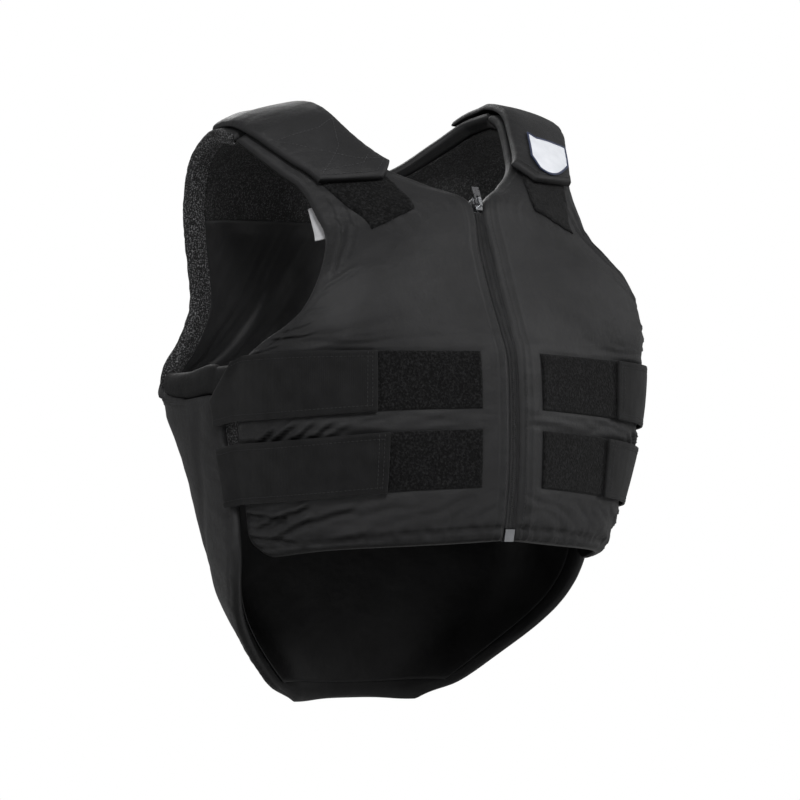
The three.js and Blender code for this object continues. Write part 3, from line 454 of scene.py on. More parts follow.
def strokes(side, v, table, wander):
    """Height of single folds, each a ridge with a valley below it that fades out at both ends."""
    total = np.zeros_like(side)
    for x0, y0, x1, y1, half_width, rise in table:
        span = math.hypot(x1 - x0, y1 - y0)
        ahead = ((x1 - x0) / span, (y1 - y0) / span)
        along = ((side - x0) * ahead[0] + (v - y0) * ahead[1]) / span
        off = -(side - x0) * ahead[1] + (v - y0) * ahead[0] + wander
        fade = np.clip(np.minimum(along + 0.15, 1.1 - along) * 4, 0, 1)
        ridge = bell(off, 0, half_width) - 0.75 * bell(off, -1.7 * half_width, half_width)
        total += rise * ridge * smooth(fade)
    return total


def front_folds(share, place, seed):
    u, v, width = cells(front, share, place)
    side, edge = width - u, front.get("edge", share, place)
    level = lambda p: front.get("along", share, np.full_like(share, p))
    strapped = within(v, level(UPPER[1]), level(UPPER[0]), 4)
    strapped = np.maximum(strapped, within(v, level(LOWER[1]), level(LOWER[0]), 4))
    strapped = strapped * within(u, LOOP_INSET, 900, 10)
    covered = within(place, 8.6, 20, 0.5)
    soft = 1.2 * noise(u / 74 + seed, v / 48 + seed) + 0.55 * noise(u / 31 + seed, v / 17 - seed)
    by_side = 0.9 * crease(v / 17 + 3 * seed, u / 70) - 0.3 + 0.25 * noise(v / 8, u / 30 + seed)
    by_side = np.exp(-side / 24) * by_side
    by_hem = np.exp(-v / 22) * (1.5 * crease(u / 17 + seed, v / 60) - 0.5 + 0.4 * noise(u / 7 + seed, v / 30))
    by_zip = np.exp(-u / 16) * (0.8 * noise(v / 12 + seed, u / 40) + 0.35 * noise(v / 5, u / 20 + seed))
    between = within(v, level(LOWER[0]), level(UPPER[1]), 4) * within(u, 20, 900, 20)
    pulled = 1.5 * crease(u / 52 + v / 30 + seed, v / 8 + seed) - 0.5
    pulled = between * (pulled + 0.9 * noise(u / 26 + v / 16, v / 5 + seed))
    below = within(v, 0, level(LOWER[1]), 6) * np.exp(-np.abs(v - level(LOWER[1]) + 14) / 16)
    swag = below * (1.8 * crease(u / 44 + seed, v / 14 + u / 80) - 0.6)
    slack = within(v, 4, level(LOWER[1]) - 2, 6) * np.exp(-side / 70)
    swag = swag + slack * (1.9 * crease(u / 46 + seed, v / 12 - u / 60) - 0.7)
    length_wise = 0.8 * noise(u / 8 + seed, v / 46) + 0.7 * crease(u / 17 + seed, v / 60) - 0.3
    length_wise = within(place, 8.2, 20, 0.8) * length_wise
    above = np.exp(-np.abs(v - level(UPPER[0]) - 12) / 14) * noise(u / 38 + seed, v / 10 - u / 110)
    height = soft + by_side + by_hem + by_zip + pulled + swag + above + length_wise
    height = height + strokes(side, v, FRONT_STROKES, 2.2 * noise(u / 16 + seed, v / 16))
    height = height * (1 - 0.88 * strapped) * (1 - 0.45 * covered)
    height -= 0.9 * strapped
    hem_seam = HEM_SEAM + 1.6 * noise(u / 34 + seed, 0.5)
    groove = 0.7 * bell(edge, EDGE_SEAM, 1) + 2.1 * bell(v, hem_seam, 2.1) + 1.8 * np.exp(-v / 4)
    gathers = 2.2 * noise(u / 7 + seed, v / 11) + 1.6 * noise(u / 16, v / 20 + seed)
    groove = groove - bell(v, hem_seam, 5) * gathers * (1 - strapped)
    piping = 0.9 * bell(u, 4.5, 1.8) - 0.9 * bell(u, 8.2, 1.3) + 0.4 * bell(u, 12, 2)
    return height * np.clip(edge / 5, 0.12, 1) - groove + piping * within(place, -1, NECK_ROW, 0.4)


def rear_folds(share, place, seed):
    u, v, width = cells(rear, share, place)
    side, edge = width - u, rear.get("edge", share, place)
    soft = 1.3 * noise(u / 80 + seed, v / 60 + seed) + 0.5 * noise(u / 30 + seed, v / 24 - seed)
    by_side = 1.6 * crease(v / 16 + seed, u / 70) - 0.5 + 0.45 * noise(v / 6, u / 30 + seed)
    by_side = np.exp(-side / 22) * by_side
    by_hem = np.exp(-v / 20) * (1.3 * crease(u / 18 + seed, v / 60) - 0.4)
    bend = bell(side + 0.28 * (v - 190), 74, 7) * within(place, 2, 8.5, 1.5)
    across = within(place, 5, 9.5, 1.0) * np.exp(-side / 120) * 1.1 * noise(u / 90 + seed, v / 13 + u / 80)
    height = soft + by_side + by_hem + across - 1.5 * bend
    return height * np.clip(edge / 5, 0.12, 1) - 0.7 * bell(edge, EDGE_SEAM, 1)


# Materials


class Nodes:
    """A small helper that builds a material's nodes."""

    def __init__(self, name):
        self.material = bpy.data.materials.new(name)
        self.material.use_nodes = True
        self.tree = self.material.node_tree
        self.shader = self.tree.nodes["Principled BSDF"]

    def add(self, kind, inputs=(), **settings):
        node = self.tree.nodes.new(kind)
        for key, value in settings.items():
            setattr(node, key, value)
        for key, value in dict(inputs).items():
            self.put(node.inputs[key], value)
        return node

    def put(self, socket, value):
        if isinstance(value, bpy.types.NodeSocket):
            self.tree.links.new(value, socket)
        else:
            socket.default_value = value

    def math(self, operation, a, b=0.0):
        return self.add("ShaderNodeMath", {0: a, 1: b}, operation=operation).outputs[0]

    def uv(self):
        split = self.add("ShaderNodeSeparateXYZ", {0: self.add("ShaderNodeUVMap").outputs[0]})
        return split.outputs[0], split.outputs[1]

    def wave(self, value, period):
        return self.math("SINE", self.math("MULTIPLY", value, 2 * math.pi / period))

    def noise(self, scale, detail=3.0, rough=0.55):
        where = self.add("ShaderNodeTexCoord").outputs["Object"]
        sizes = {"Vector": where, "Scale": scale, "Detail": detail, "Roughness": rough}
        return self.add("ShaderNodeTexNoise", sizes)

    def ramp(self, value, low, high, out_low, out_high):
        node = self.add("ShaderNodeMapRange", {0: value, 1: low, 2: high, 3: out_low, 4: out_high})
        return node.outputs[0]

    def tint(self, value, dark, light):
        node = self.add("ShaderNodeMix", data_type="RGBA")
        self.put(node.inputs["Factor"], value)
        self.put(node.inputs["A"], (*dark, 1))
        self.put(node.inputs["B"], (*light, 1))
        return node.outputs["Result"]

    def bump(self, height, strength, distance, normal=None):
        node = self.add("ShaderNodeBump", {"Height": height, "Strength": strength, "Distance": distance})
        if normal is not None:
            self.tree.links.new(normal, node.inputs["Normal"])
        return node.outputs[0]

    def finish(self, color=None, rough=None, normal=None, **values):
        for socket, value in (("Base Color", color), ("Roughness", rough), ("Normal", normal)):
            if value is not None:
                self.put(self.shader.inputs[socket], value)
        for key, value in values.items():
            self.put(self.shader.inputs[key.replace("_", " ")], value)
        return self.material


UNDERSIDE = 0.25  # painted shade: how dark the cloth's colour is painted where it faces down, next to 1 elsewhere


def woven(name, dark, light, rough, period, specular, sheen, crinkle=0.4, weave=0.35, sheen_rough=0.4):
    n = Nodes(name)
    x, y = n.uv()
    threads = n.math("MULTIPLY", n.wave(x, period), n.wave(y, period))
    cloud = n.noise(34, 4)
    fine = n.noise(420, 3)
    first = n.bump(threads, weave, 0.00012)
    second = n.bump(cloud.outputs["Fac"], crinkle, 0.0022, first)
    third = n.bump(n.noise(150, 3, 0.6).outputs["Fac"], crinkle * 0.75, 0.0007, second)
    large, small = n.math("MULTIPLY", cloud.outputs["Fac"], 0.7), n.math("MULTIPLY", fine.outputs["Fac"], 0.3)
    mixed = n.math("ADD", large, small)
    color = n.tint(n.ramp(mixed, 0.3, 0.7, 0, 1), dark, light)
    # Painted shade: the colour is darkened where the surface faces down, and its specular is lowered there
    # too.
    normal = n.add("ShaderNodeNewGeometry").outputs["Normal"]
    facing = n.add("ShaderNodeSeparateXYZ", {0: normal}).outputs[2]
    underside_shade = n.ramp(facing, -0.75, -0.12, UNDERSIDE, 1)
    color = n.add("ShaderNodeVectorMath", {0: color, "Scale": underside_shade}, operation="SCALE").outputs[0]
    return n.finish(color, n.ramp(fine.outputs["Fac"], 0.2, 0.8, rough - 0.08, rough + 0.1), third,
                    Specular_IOR_Level=n.math("MULTIPLY", underside_shade, specular), Sheen_Weight=sheen,
                    Sheen_Roughness=sheen_rough)


def lining(name, dark, light):
    """A thin smooth cloth with painted shade: its colour is darker down in the tail than behind the arms."""
    n = Nodes(name)
    where = n.add("ShaderNodeSeparateXYZ", {0: n.add("ShaderNodeTexCoord").outputs["Object"]})
    # Painted shade: the colour is lighter high up and darker towards the bottom, by height.
    high = n.ramp(where.outputs[2], -0.36, -0.22, 0, 0.75)
    cloud = n.noise(34, 4)
    color = n.tint(n.math("ADD", high, n.ramp(cloud.outputs["Fac"], 0.3, 0.7, 0, 0.25)), dark, light)
    x, y = n.uv()
    threads = n.bump(n.math("MULTIPLY", n.wave(x, 0.0007), n.wave(y, 0.0007)), 0.2, 0.00012)
    return n.finish(color, 0.46, n.bump(cloud.outputs["Fac"], 0.4, 0.003, threads), Specular_IOR_Level=0.15)


def fuzzy(name, dark, light):
    n = Nodes(name)
    place = n.add("ShaderNodeTexCoord").outputs["Object"]
    curls = n.add("ShaderNodeTexVoronoi", {"Vector": place, "Scale": 620.0})
    tufts = n.noise(430, 4, 0.7)
    height = n.math("ADD", curls.outputs["Distance"], n.math("MULTIPLY", tufts.outputs["Fac"], 1.4))
    color = n.tint(n.ramp(tufts.outputs["Fac"], 0.46, 0.66, 0, 1), dark, light)
    return n.finish(color, 0.95, n.bump(height, 0.6, 0.0007), Specular_IOR_Level=0.1, Sheen_Weight=0.04,
                    Sheen_Roughness=0.6)


def ribbed(name, dark, light, rough):
    n = Nodes(name)
    x, y = n.uv()
    ribs = n.wave(x, 0.0016)
    twill = n.wave(n.math("ADD", x, n.math("MULTIPLY", y, 0.9)), 0.0011)
    height = n.math("ADD", ribs, n.math("MULTIPLY", twill, 0.5))
    cloud = n.noise(60, 4)
    color = n.tint(n.ramp(cloud.outputs["Fac"], 0.3, 0.7, 0, 1), dark, light)
    normal = n.bump(cloud.outputs["Fac"], 0.35, 0.0014, n.bump(height, 0.35, 0.00018))
    return n.finish(color, rough, normal, Specular_IOR_Level=0.16, Sheen_Weight=0.05, Sheen_Roughness=0.5)


def netting(name, dark, light, cell, rough=0.75):
    """Knitted mesh: small round holes in offset rows, with painted highlights where the threads between them
    catch light.
    """
    n = Nodes(name)
    x, y = n.uv()
    warp = n.noise(170, 3)
    x = n.math("ADD", x, n.ramp(warp.outputs["Fac"], 0.3, 0.7, -0.0012, 0.0012))
    y = n.math("ADD", y, n.ramp(n.noise(230, 3).outputs["Fac"], 0.3, 0.7, -0.0014, 0.0014))
    cells_on = n.math("ABSOLUTE", n.math("MULTIPLY", n.wave(x, cell), n.wave(y, cell)))
    holes = n.ramp(cells_on, 0.15, 0.6, 1, 0)
    # Painted highlight: light specks scattered over the threads.
    glint_spots = n.noise(620, 2)
    bright = n.math("MULTIPLY", holes, n.ramp(glint_spots.outputs["Fac"], 0.48, 0.62, 0.03, 1))
    color = n.tint(bright, dark, light)
    return n.finish(color, rough, n.bump(holes, 0.6, 0.0005), Specular_IOR_Level=0.2, Sheen_Weight=0.05)


def metal(name, color, rough, scratch):
    n = Nodes(name)
    fine = n.noise(700, 3)
    broad = n.noise(90, 3)
    tone = n.tint(n.ramp(broad.outputs["Fac"], 0.3, 0.7, 0, 1), tuple(c * 0.8 for c in color), color)
    return n.finish(tone, n.ramp(fine.outputs["Fac"], 0.3, 0.7, rough - 0.08, rough + 0.12),
                    n.bump(fine.outputs["Fac"], scratch, 0.0001), Metallic=1.0)


def satin(name, dark, light, rough, specular=0.3):
    n = Nodes(name)
    x, y = n.uv()
    threads = n.math("MULTIPLY", n.wave(x, 0.0007), n.wave(y, 0.0007))
    cloud = n.noise(70, 3)
    color = n.tint(n.ramp(cloud.outputs["Fac"], 0.3, 0.7, 0, 1), dark, light)
    return n.finish(color, rough, n.bump(cloud.outputs["Fac"], 0.15, 0.001, n.bump(threads, 0.3, 0.0001)),
                    Specular_IOR_Level=specular, Sheen_Weight=0.05)


def grey(tone, blue):
    return tone, tone, blue


NYLON = woven("nylon", grey(0.0112, 0.0117), grey(0.0172, 0.018), 0.48, 0.0008, 0.22, 0.02, 0.6)
FLAP_NYLON = woven("flap_nylon", grey(0.0115, 0.012), grey(0.0175, 0.0185), 0.48, 0.0008, 0.22, 0.02, 0.6)
LINING_CLOTH = lining("lining_cloth", grey(0.0010, 0.0012), grey(0.0120, 0.0125))
RIM_CLOTH = woven("rim_cloth", grey(0.003, 0.0032), grey(0.0065, 0.007), 0.6, 0.0007, 0.18, 0.01, 0.4, 0.2)
LOOP = fuzzy("loop_pile", grey(0.0006, 0.0007), grey(0.0125, 0.013))
WEB = ribbed("strap_webbing", grey(0.0022, 0.0024), grey(0.0066, 0.007), 0.72)
# Both nets carry painted highlights on their threads; the yoke's are dimmer.
NET = netting("mesh_net", grey(0.0018, 0.002), grey(0.14, 0.145), 0.0036)
YOKE_NET = netting("yoke_net", grey(0.0015, 0.0017), grey(0.06, 0.062), 0.0036)
ZIP_TAPE = ribbed("zip_tape_weave", grey(0.010, 0.0105), grey(0.018, 0.019), 0.8)
ZIP_TEETH = satin("zip_coil_plastic", grey(0.010, 0.0105), grey(0.019, 0.020), 0.5, 0.3)
THREAD = satin("thread", grey(0.010, 0.0105), grey(0.020, 0.021), 0.55, 0.35)
DARK_THREAD = satin("dark_thread", grey(0.007, 0.0075), grey(0.013, 0.014), 0.6, 0.3)
PALE_THREAD = satin("pale_thread", grey(0.028, 0.03), grey(0.045, 0.048), 0.5, 0.35)
BADGE_CLOTH = satin("badge_satin", (0.74, 0.76, 0.8), (0.84, 0.86, 0.9), 0.42)
BORDER = satin("badge_border", (0.02, 0.028, 0.06), (0.035, 0.045, 0.09), 0.5)
# The label's colour is darkened to grey: painted shade for the shadow it hangs in.
LABEL = satin("label_satin", grey(0.34, 0.35), grey(0.44, 0.45), 0.6)
SILVER = metal("silver", (0.62, 0.63, 0.65), 0.28, 0.25)
GUN = metal("dark_plate", grey(0.24, 0.25), 0.3, 0.2)
WORN = metal("worn_metal", (0.3, 0.305, 0.32), 0.36, 0.5)


def cloth_area(grid):
    """Area of a grid of points, in square metres."""
    a, b = np.diff(grid, axis=0)[:, :-1], np.diff(grid, axis=1)[:-1]
    return float(np.linalg.norm(np.cross(a, b), axis=-1).sum()) / 1e6


def sheet_area(flat, area):
    """The cloth's area, kept between the shares of its flat box that a sheet may have."""
    box = flat[0] * flat[1]
    return min(0.999 * box, max(0.301 * box, area))


# Padded panels


def front_points(share, place, seed):
    crown, normal = front.get("crown", share, place), unit(front.get("normal", share, place))
    half, fold = front.half(share, place), front_folds(share, place, seed)
    width, v = front.get("width", share, place), front.get("along", share, place)
    corner = np.clip(1 - np.hypot((1 - share) * width, v) / 26, 0, 1)
    spot = front.get("crown", 1 - 12 / float(front.get("width", 1, 0)), 0.16) - front.get("crown", 1, 0)
    crown = crown + spot * (0.75 * corner * corner)[..., None]
    top = crown + normal * (fold - PAD / 2 + half)[..., None]
    bottom = crown - normal * (PAD / 2 + half - 0.35 * fold)[..., None]
    return top, bottom


def uv_of(skin, share, place):
    return np.stack(cells(skin, share, place)[:2], axis=-1)


SEEDS = {"left": 3.7, "right": 21.3}
FRONT_COLUMNS, FRONT_STEP, REAR_COLUMNS, REAR_STEP = 146, 2.3, 104, 3.1

share, place = panel_grid(front, FRONT_COLUMNS, FRONT_STEP)
for side, seed in SEEDS.items():
    top, bottom = front_points(share, place, seed)
    points, faces, uv = shell(top, bottom, uv_of(front, share, place), bulge=1.0)
    size = top[..., 0].size
    piece = make(f"padded_front_{side}", points, faces, NYLON, uv, side == "right",
                 nodes=[f"front_panel_{side}"], inside=(LINING_CLOTH, (size, 2 * size)))

share, place = panel_grid(rear, REAR_COLUMNS, REAR_STEP)
crown, normal = rear.get("crown", share, place), unit(rear.get("normal", share, place))
half, fold = rear.half(share, place), rear_folds(share, place, 8.1)
top = crown + normal * (fold - PAD / 2 + half)[..., None]
bottom = crown - normal * (PAD / 2 + half - 0.3 * fold)[..., None]
on_seam = place[:, 0] <= NAPE_ROW + 1e-6
for grid in (top, bottom):
    grid[on_seam, 0, 0] = 0
points, faces, uv = shell(top, bottom, uv_of(rear, share, place), 1.0, int(on_seam.sum()))
points, faces, uv = doubled(points, faces, uv)
size, half_count = top[..., 0].size, len(points) // 2
piece = make("padded_back", points, faces, NYLON, uv, weld=0.02, nodes=["back_panel"],
             inside=(LINING_CLOTH, (size, 2 * size), (half_count + size, half_count + 2 * size)))

# Inside of the back


def back_skin(name, low, high, material, node, folds, step=3.4, columns=70):
    clear = EDGE_ROUND + 1
    places = even(rear, low, high, step)
    limit = NAPE_ROW - NAPE_CLEAR
    if low < limit < high:
        places[np.argmin(np.abs(places - limit))] = limit
    width = rear.get("width", 0.5, places)
    start = np.where(places <= limit + 1e-6, 0, clear / width)
    share = start[:, None] + (1 - clear / width - start)[:, None] * np.linspace(0, 1, columns)
    place = np.repeat(places[:, None], columns, axis=1)
    crown, normal = rear.get("crown", share, place), unit(rear.get("normal", share, place))
    half = rear.half(share, place)
    out = []
    u, v, w = cells(rear, share, place)
    rim = np.minimum(np.minimum(w - clear - u, v - v[0]), v[-1] - v)
    rise = folds(u, v) * np.clip(rim / 14, 0, 1)
    for depth in (GAP, GAP + LINING):
        grid = crown - normal * (PAD / 2 + half + depth + rise)[..., None]
        grid[places <= limit + 1e-6, 0, 0] = 0
        out.append(grid)
    seam_rows = int((places <= limit + 1e-6).sum())
    points, faces, uv = shell(out[1], out[0], uv_of(rear, share, place), bulge=0.4, seam_rows=seam_rows)
    area = 2 * cloth_area(out[1])
    points, faces, uv = doubled(points, faces, uv)
    piece = make(name, points, faces, material, uv, weld=0.02, nodes=[node])


HEM_CLEAR = (EDGE_ROUND + 1) / np.linalg.norm(rear.get("crown", 0, 1) - rear.get("crown", 0, 0))


def lining_folds(u, v):
    slope = v + 0.35 * u
    drape = 4.0 * np.maximum(0, noise(u / 190 + 2.2, slope / 46 + 0.3))
    drape = drape + 2.4 * crease(slope / 38 + 5, u / 150)
    drape = drape + 1.6 * np.maximum(0, noise(u / 34 + 7, v / 60)) + 1.2 * crease(v / 20 + u / 60, u / 80 + 4)
    return drape * (0.15 + 0.85 * within(v, 275, 900, 60))


def yoke_folds(u, v):
    return 0.5 * noise(u / 40, v / 30) + 0.4 + 0.6 * crease(u / 50, v / 40)


back_skin("smooth_lining", HEM_CLEAR, YOKE_ROW - 0.03, LINING_CLOTH, "back_lining",
          lining_folds)
back_skin("mesh_yoke", YOKE_ROW, rear.top - SHOULDER_CLEAR, YOKE_NET, "back_yoke",
          yoke_folds, 2.8, 60)

# Armholes and sides


def smooth_line(points, count):
    """Points along a smooth curve through others, along the first axis but one."""
    n = points.shape[-2]
    at = np.linspace(0, n - 1, count)
    i = np.clip(np.floor(at).astype(int), 0, n - 2)
    f = (at - i)[:, None]
    take = lambda k: points[..., np.clip(k, 0, n - 1), :]
    p, q, r, s = take(i - 1), take(i), take(i + 1), take(i + 2)
    return q + 0.5 * f * (r - p + f * (2 * p - 5 * q + 4 * r - s + f * (3 * (q - r) + s - p)))


TRIM_COLUMNS, TRIM_REACH = 26, 13
BEND = 0.16 * TRIM_REACH  # how far from the edge the binding turns round it


def armhole_trim(seed):
    places = even(rear, ARM_ROW + 0.3, rear.top, 2.6)
    width = rear.get("width", 0.5, places)
    profile = [(TRIM_REACH, "in", -1, 0), (TRIM_REACH / 2, "in", -1, 0.2), (BEND, "in", -1, 0.9),
               (0, "in", -0.9, 1.1), (0, "out", 0.9, 1.1), (BEND, "out", 1, 0.9)]
    edge = rear.get("crown", 1, places)
    outward = unit(edge - rear.get("crown", 1 - BEND / width, places))
    base, way = [], []
    for distance, grid, away, over in profile:
        share = 1 - distance / width
        normal = unit(rear.get("normal", share, places))
        half = rear.half(share, places)
        depth = PAD / 2 - half if grid == "out" else PAD / 2 + half
        base.append(rear.get("crown", share, places) - normal * depth[..., None])
        way.append(normal * away + outward * over)
    base = smooth_line(np.stack(base, axis=1), TRIM_COLUMNS)
    way = smooth_line(np.stack(way, axis=1), TRIM_COLUMNS)
    v = np.repeat(rear.get("along", 1, places)[:, None], TRIM_COLUMNS, axis=1)
    u = run_along(base)
    pucker = 0.45 * noise(v / 7 + seed, u / 12) + 0.5 * crease(v / 19 + seed, u / 30)
    thick = lambda h: base + way * (h + np.maximum(0, pucker))[..., None]
    return shell(thick(GAP + MESH), thick(GAP), np.stack([u, v], axis=-1), bulge=0.3), u.shape


RIM_POINTS = 8


def underarm_rim(seed):
    t = np.linspace(0, 1, 60)
    low = rear.get("crown", 1, WING_ROW + (ARM_ROW - UNDERARM_CLEAR - WING_ROW) * t)
    low[:, 2] += PAD_EDGE / 2 - 1.5 * GAP
    lead = low[0] + np.linspace([0, -UNDERARM_TUCK, 0], [0, 0, 0], 12)[:-1]
    low = np.concatenate([lead, low])
    high = low + [0, 0, UNDERARM_HEIGHT]
    end = rear.get("crown", 1, ARM_ROW + UNDERARM_RISE).copy()
    end[1] -= 3 * GAP + MESH + PAD_EDGE / 2
    run = run_along(low)
    # The rim's upper edge rises to meet the armhole, evenly from point to point of its solid.
    marks = np.concatenate([[0], UNDERARM_TUCK + np.linspace(0, run[-1] - UNDERARM_TUCK, RIM_POINTS)])
    number = np.interp(run, marks, np.arange(RIM_POINTS + 1))
    high = high + (end - high[-1]) * (number[:, None] / RIM_POINTS) ** 2
    level = np.array([0, 0.02, 0.06, 0.12, 0.2, 0.3, 0.4, 0.5, 0.6, 0.7, 0.8, 0.88, 0.94, 0.98, 1])
    points = low[None] + (high - low)[None] * level[:, None, None]
    ahead = np.gradient(low, axis=0)
    out = unit(np.cross(ahead, [0, 0, 1]))
    short = 1 - np.minimum(1, np.minimum(level, 1 - level) * 2)
    half = PAD_EDGE / 2 + (PAD - PAD_EDGE) / 2 * np.sqrt(1 - short ** 2)
    u, v = np.meshgrid(run, level * UNDERARM_HEIGHT)
    fold = 0.5 * noise(u / 34 + seed, v / 30) + 0.3 * noise(u / 13, v / 17 + seed)
    fold = fold * np.sin(math.pi * level)[:, None]
    side = lambda sign: points + out[None] * (-PAD / 2 + sign * (half[:, None] + fold))[..., None]
    return shell(side(1), side(-1), np.stack([u, v], axis=-1), bulge=0.8)


GUSSET_ROWS, GUSSET_COLUMNS = 30, 24


def side_gusset(seed):
    downs = np.linspace(UPPER_STRAP_TOP + STRAP_HEIGHT, LOWER_STRAP_TOP + STRAP_HEIGHT, GUSSET_ROWS)
    rows = []
    for down in downs:
        f = front.place_down(1, down, 0, SIDE_TOP_ROW)
        b = rear.place_down(1, down, WING_START, WING_ROW)
        p = front.get("crown", 1, f) - unit(front.get("normal", 1, f)) * PAD / 2
        q = rear.get("crown", 1, b) - unit(rear.get("normal", 1, b)) * PAD / 2
        way = unit(q - p)
        rows.append(np.linspace(p + way * 2 * GAP, q - way * 2 * GAP, GUSSET_COLUMNS))
    rows = np.array(rows)
    u = np.linalg.norm(rows - rows[:, :1], axis=-1)
    v = np.repeat(downs[:, None], GUSSET_COLUMNS, axis=1)
    slack = np.sin(np.linspace(0, math.pi, GUSSET_COLUMNS))
    rows[..., 0] += 0.8 * noise(v / 14 + seed, u / 16) * slack
    lift = np.array([MESH / 2, 0, 0])
    return shell(rows + lift, rows - lift, np.stack([u, v], axis=-1)), rows


def flat_of(grid):
    width = np.linalg.norm(np.diff(grid, axis=1), axis=-1).sum(axis=1).max() / 1000
    length = np.linalg.norm(np.diff(grid, axis=0), axis=-1).sum(axis=0).max() / 1000
    return float(width), float(length)


def declare(grid, scale=1.0):
    flat = flat_of(grid)
    sheet_area(flat, cloth_area(grid) * scale)


for side, seed in SEEDS.items():
    mirror = side == "right"
    (points, faces, uv), shape = armhole_trim(seed)
    piece = make(f"mesh_binding_{side}", points, faces, NET, uv, mirror,
                 nodes=[f"armhole_trim_{side}"])
    declare(points[: shape[0] * shape[1]].reshape(*shape, 3))
    points, faces, uv = underarm_rim(seed)
    piece = make(f"underarm_pad_{side}", points, faces, RIM_CLOTH, uv, mirror,
                 nodes=[f"underarm_rim_{side}"])
    (points, faces, uv), rows = side_gusset(seed)
    piece = make(f"mesh_insert_{side}", points, faces, NET, uv, mirror,
                 nodes=[f"side_gusset_{side}"])
    declare(rows)

# Stitches


STITCH, STITCH_GAP, STITCH_RADIUS, STITCH_LIFT = 2.7, 1.1, 0.3, 0.05
STITCH_SIDES = 5
STITCH_RINGS = ((0.12, 0.7, 0.0), (0.5, 1.0, 0.35), (0.88, 0.7, 0.0))  # how far along, size and lift


def stitches(paths):
    """Points and faces of small rounded stitches along paths, each a pair of points and normals."""
    points, faces = [], []
    turn = np.linspace(0, 2 * math.pi, STITCH_SIDES + 1)[:-1]
    for line, normal in paths:
        run = run_along(line)
        for k in range(int(run[-1] / (STITCH + STITCH_GAP))):
            at = k * (STITCH + STITCH_GAP) + STITCH_GAP / 2
            spots = [at, at + STITCH / 2, at + STITCH]
            ends = np.array([np.interp(spots, run, line[:, c]) for c in range(3)]).T
            up = unit(np.array([np.interp(at, run, normal[:, c]) for c in range(3)]))
            ahead = unit(ends[2] - ends[0])
            side = np.cross(ahead, up)
            arch = ends[1] - (ends[0] + ends[2]) / 2
            first = len(points)
            points.append(ends[0] - up * STITCH_RADIUS * 0.4)
            for f, size, lift in STITCH_RINGS:
                middle = ends[0] + (ends[2] - ends[0]) * f + arch * math.sin(math.pi * f)
                middle = middle + up * STITCH_RADIUS * lift
                for a in turn:
                    away = side * math.cos(a) + up * math.sin(a)
                    points.append(middle + away * STITCH_RADIUS * size)
            points.append(ends[2] - up * STITCH_RADIUS * 0.4)
            last = len(points) - 1
            for a in range(STITCH_SIDES):
                b = (a + 1) % STITCH_SIDES
                faces.append((first, first + 1 + b, first + 1 + a))
                for ring in range(len(STITCH_RINGS) - 1):
                    start = first + 1 + ring * STITCH_SIDES
                    p, q = start + a, start + b
                    faces.append((p, q, q + STITCH_SIDES))
                    faces.append((p, q + STITCH_SIDES, p + STITCH_SIDES))
                faces.append((last, last - STITCH_SIDES + a, last - STITCH_SIDES + b))
    return np.array(points), np.array(faces)


def sewn(name, paths, material, side):
    points, faces = stitches(paths)
    make(name, points, faces, material, mirror=side == "right")


# Straps and loop tape


SEATED = 0.25  # how far a loop tape's underside lies off the folds
PILE_SHARE = 0.92  # flat area of a loop tape next to its uneven pile
LOOP_ROWS, LOOP_COLUMNS = 30, 60


def on_front(share, place, seed, lift):
    """A point lifted off the folded outside of a front panel."""
    share, place = np.broadcast_arrays(share, place)
    top, _ = front_points(share, place, seed)
    return top + unit(front.get("normal", share, place)) * np.asarray(lift)[..., None]


def front_loop(top, seed):
    downs = np.linspace(0, 1, LOOP_ROWS)
    places = np.array([front.place_down(0, top + STRAP_HEIGHT * t, 0, NECK_ROW) for t in downs])
    place = np.repeat(places[:, None], LOOP_COLUMNS, axis=1)
    out = np.linspace(LOOP_INSET, LOOP_REACH, LOOP_COLUMNS)
    share = out[None] / front.get("width", 0.5, place)
    v = np.repeat((downs * STRAP_HEIGHT)[:, None], LOOP_COLUMNS, axis=1)
    u = np.repeat(out[None], LOOP_ROWS, axis=0)
    rim = np.minimum(np.minimum(u - LOOP_INSET, LOOP_REACH - u), np.minimum(v, STRAP_HEIGHT - v))
    pile = 0.25 * noise(u / 1.9 + seed, v / 1.9) + 0.35 * noise(u / 24, v / 16 + seed)
    height = LOOP_TAPE * (0.55 + 0.45 * np.clip(rim / 1.5, 0, 1)) + pile * np.clip(rim / 3, 0, 1)
    lower, upper = on_front(share, place, seed, SEATED), on_front(share, place, seed, SEATED + height)
    return shell(upper, lower, np.stack([u, v], axis=-1), bulge=0.3), upper


def strap_rows(top, end, slanted, rows=22, run=64):
    """The strap's underside: on the crown of the front panel, across the gap and on to the wing."""
    lift = 2 * GAP + LOOP_TAPE
    lines, normals = [], []
    for t in np.linspace(0, 1, rows):
        place = front.place_down(0, top + STRAP_HEIGHT * t, 0, NECK_ROW)
        width = float(front.get("width", 0.5, place))
        shares = np.linspace(end, width - STRAP_BRIDGE, run) / width
        line = front.raised(shares, place, lift)
        normal = unit(front.get("normal", shares, np.full(run, place)))
        ahead = unit(line[-1] - line[-2])
        wing_top = -float(rear.get("crown", 1, WING_ROW)[2])
        down = -line[-1][2] + STRAP_SAG
        row = rear.place_down(1, max(down, wing_top + GAP), WING_START, WING_ROW)
        share = 1 - STRAP_ON_WING / float(rear.get("width", 0.5, row))
        to, to_normal = rear.raised(share, row, lift), unit(rear.get("normal", share, row))
        if slanted and down < wing_top:
            above = wing_top - down
            to = to + [0, -above * STRAP_SLANT - STRAP_ON_WING, above]
        reach = np.linalg.norm(line[-1] - to) / 3
        f = np.linspace(0, 1, 17)[1:]
        bridge = bernstein(f) @ np.array([line[-1], line[-1] + ahead * reach, to + [0, -reach, 0], to])
        lines.append(np.concatenate([line, bridge]))
        turned = unit(normal[-1] + (to_normal - normal[-1]) * f[:, None])
        normals.append(np.concatenate([normal, turned]))
    return np.array(lines), np.array(normals)


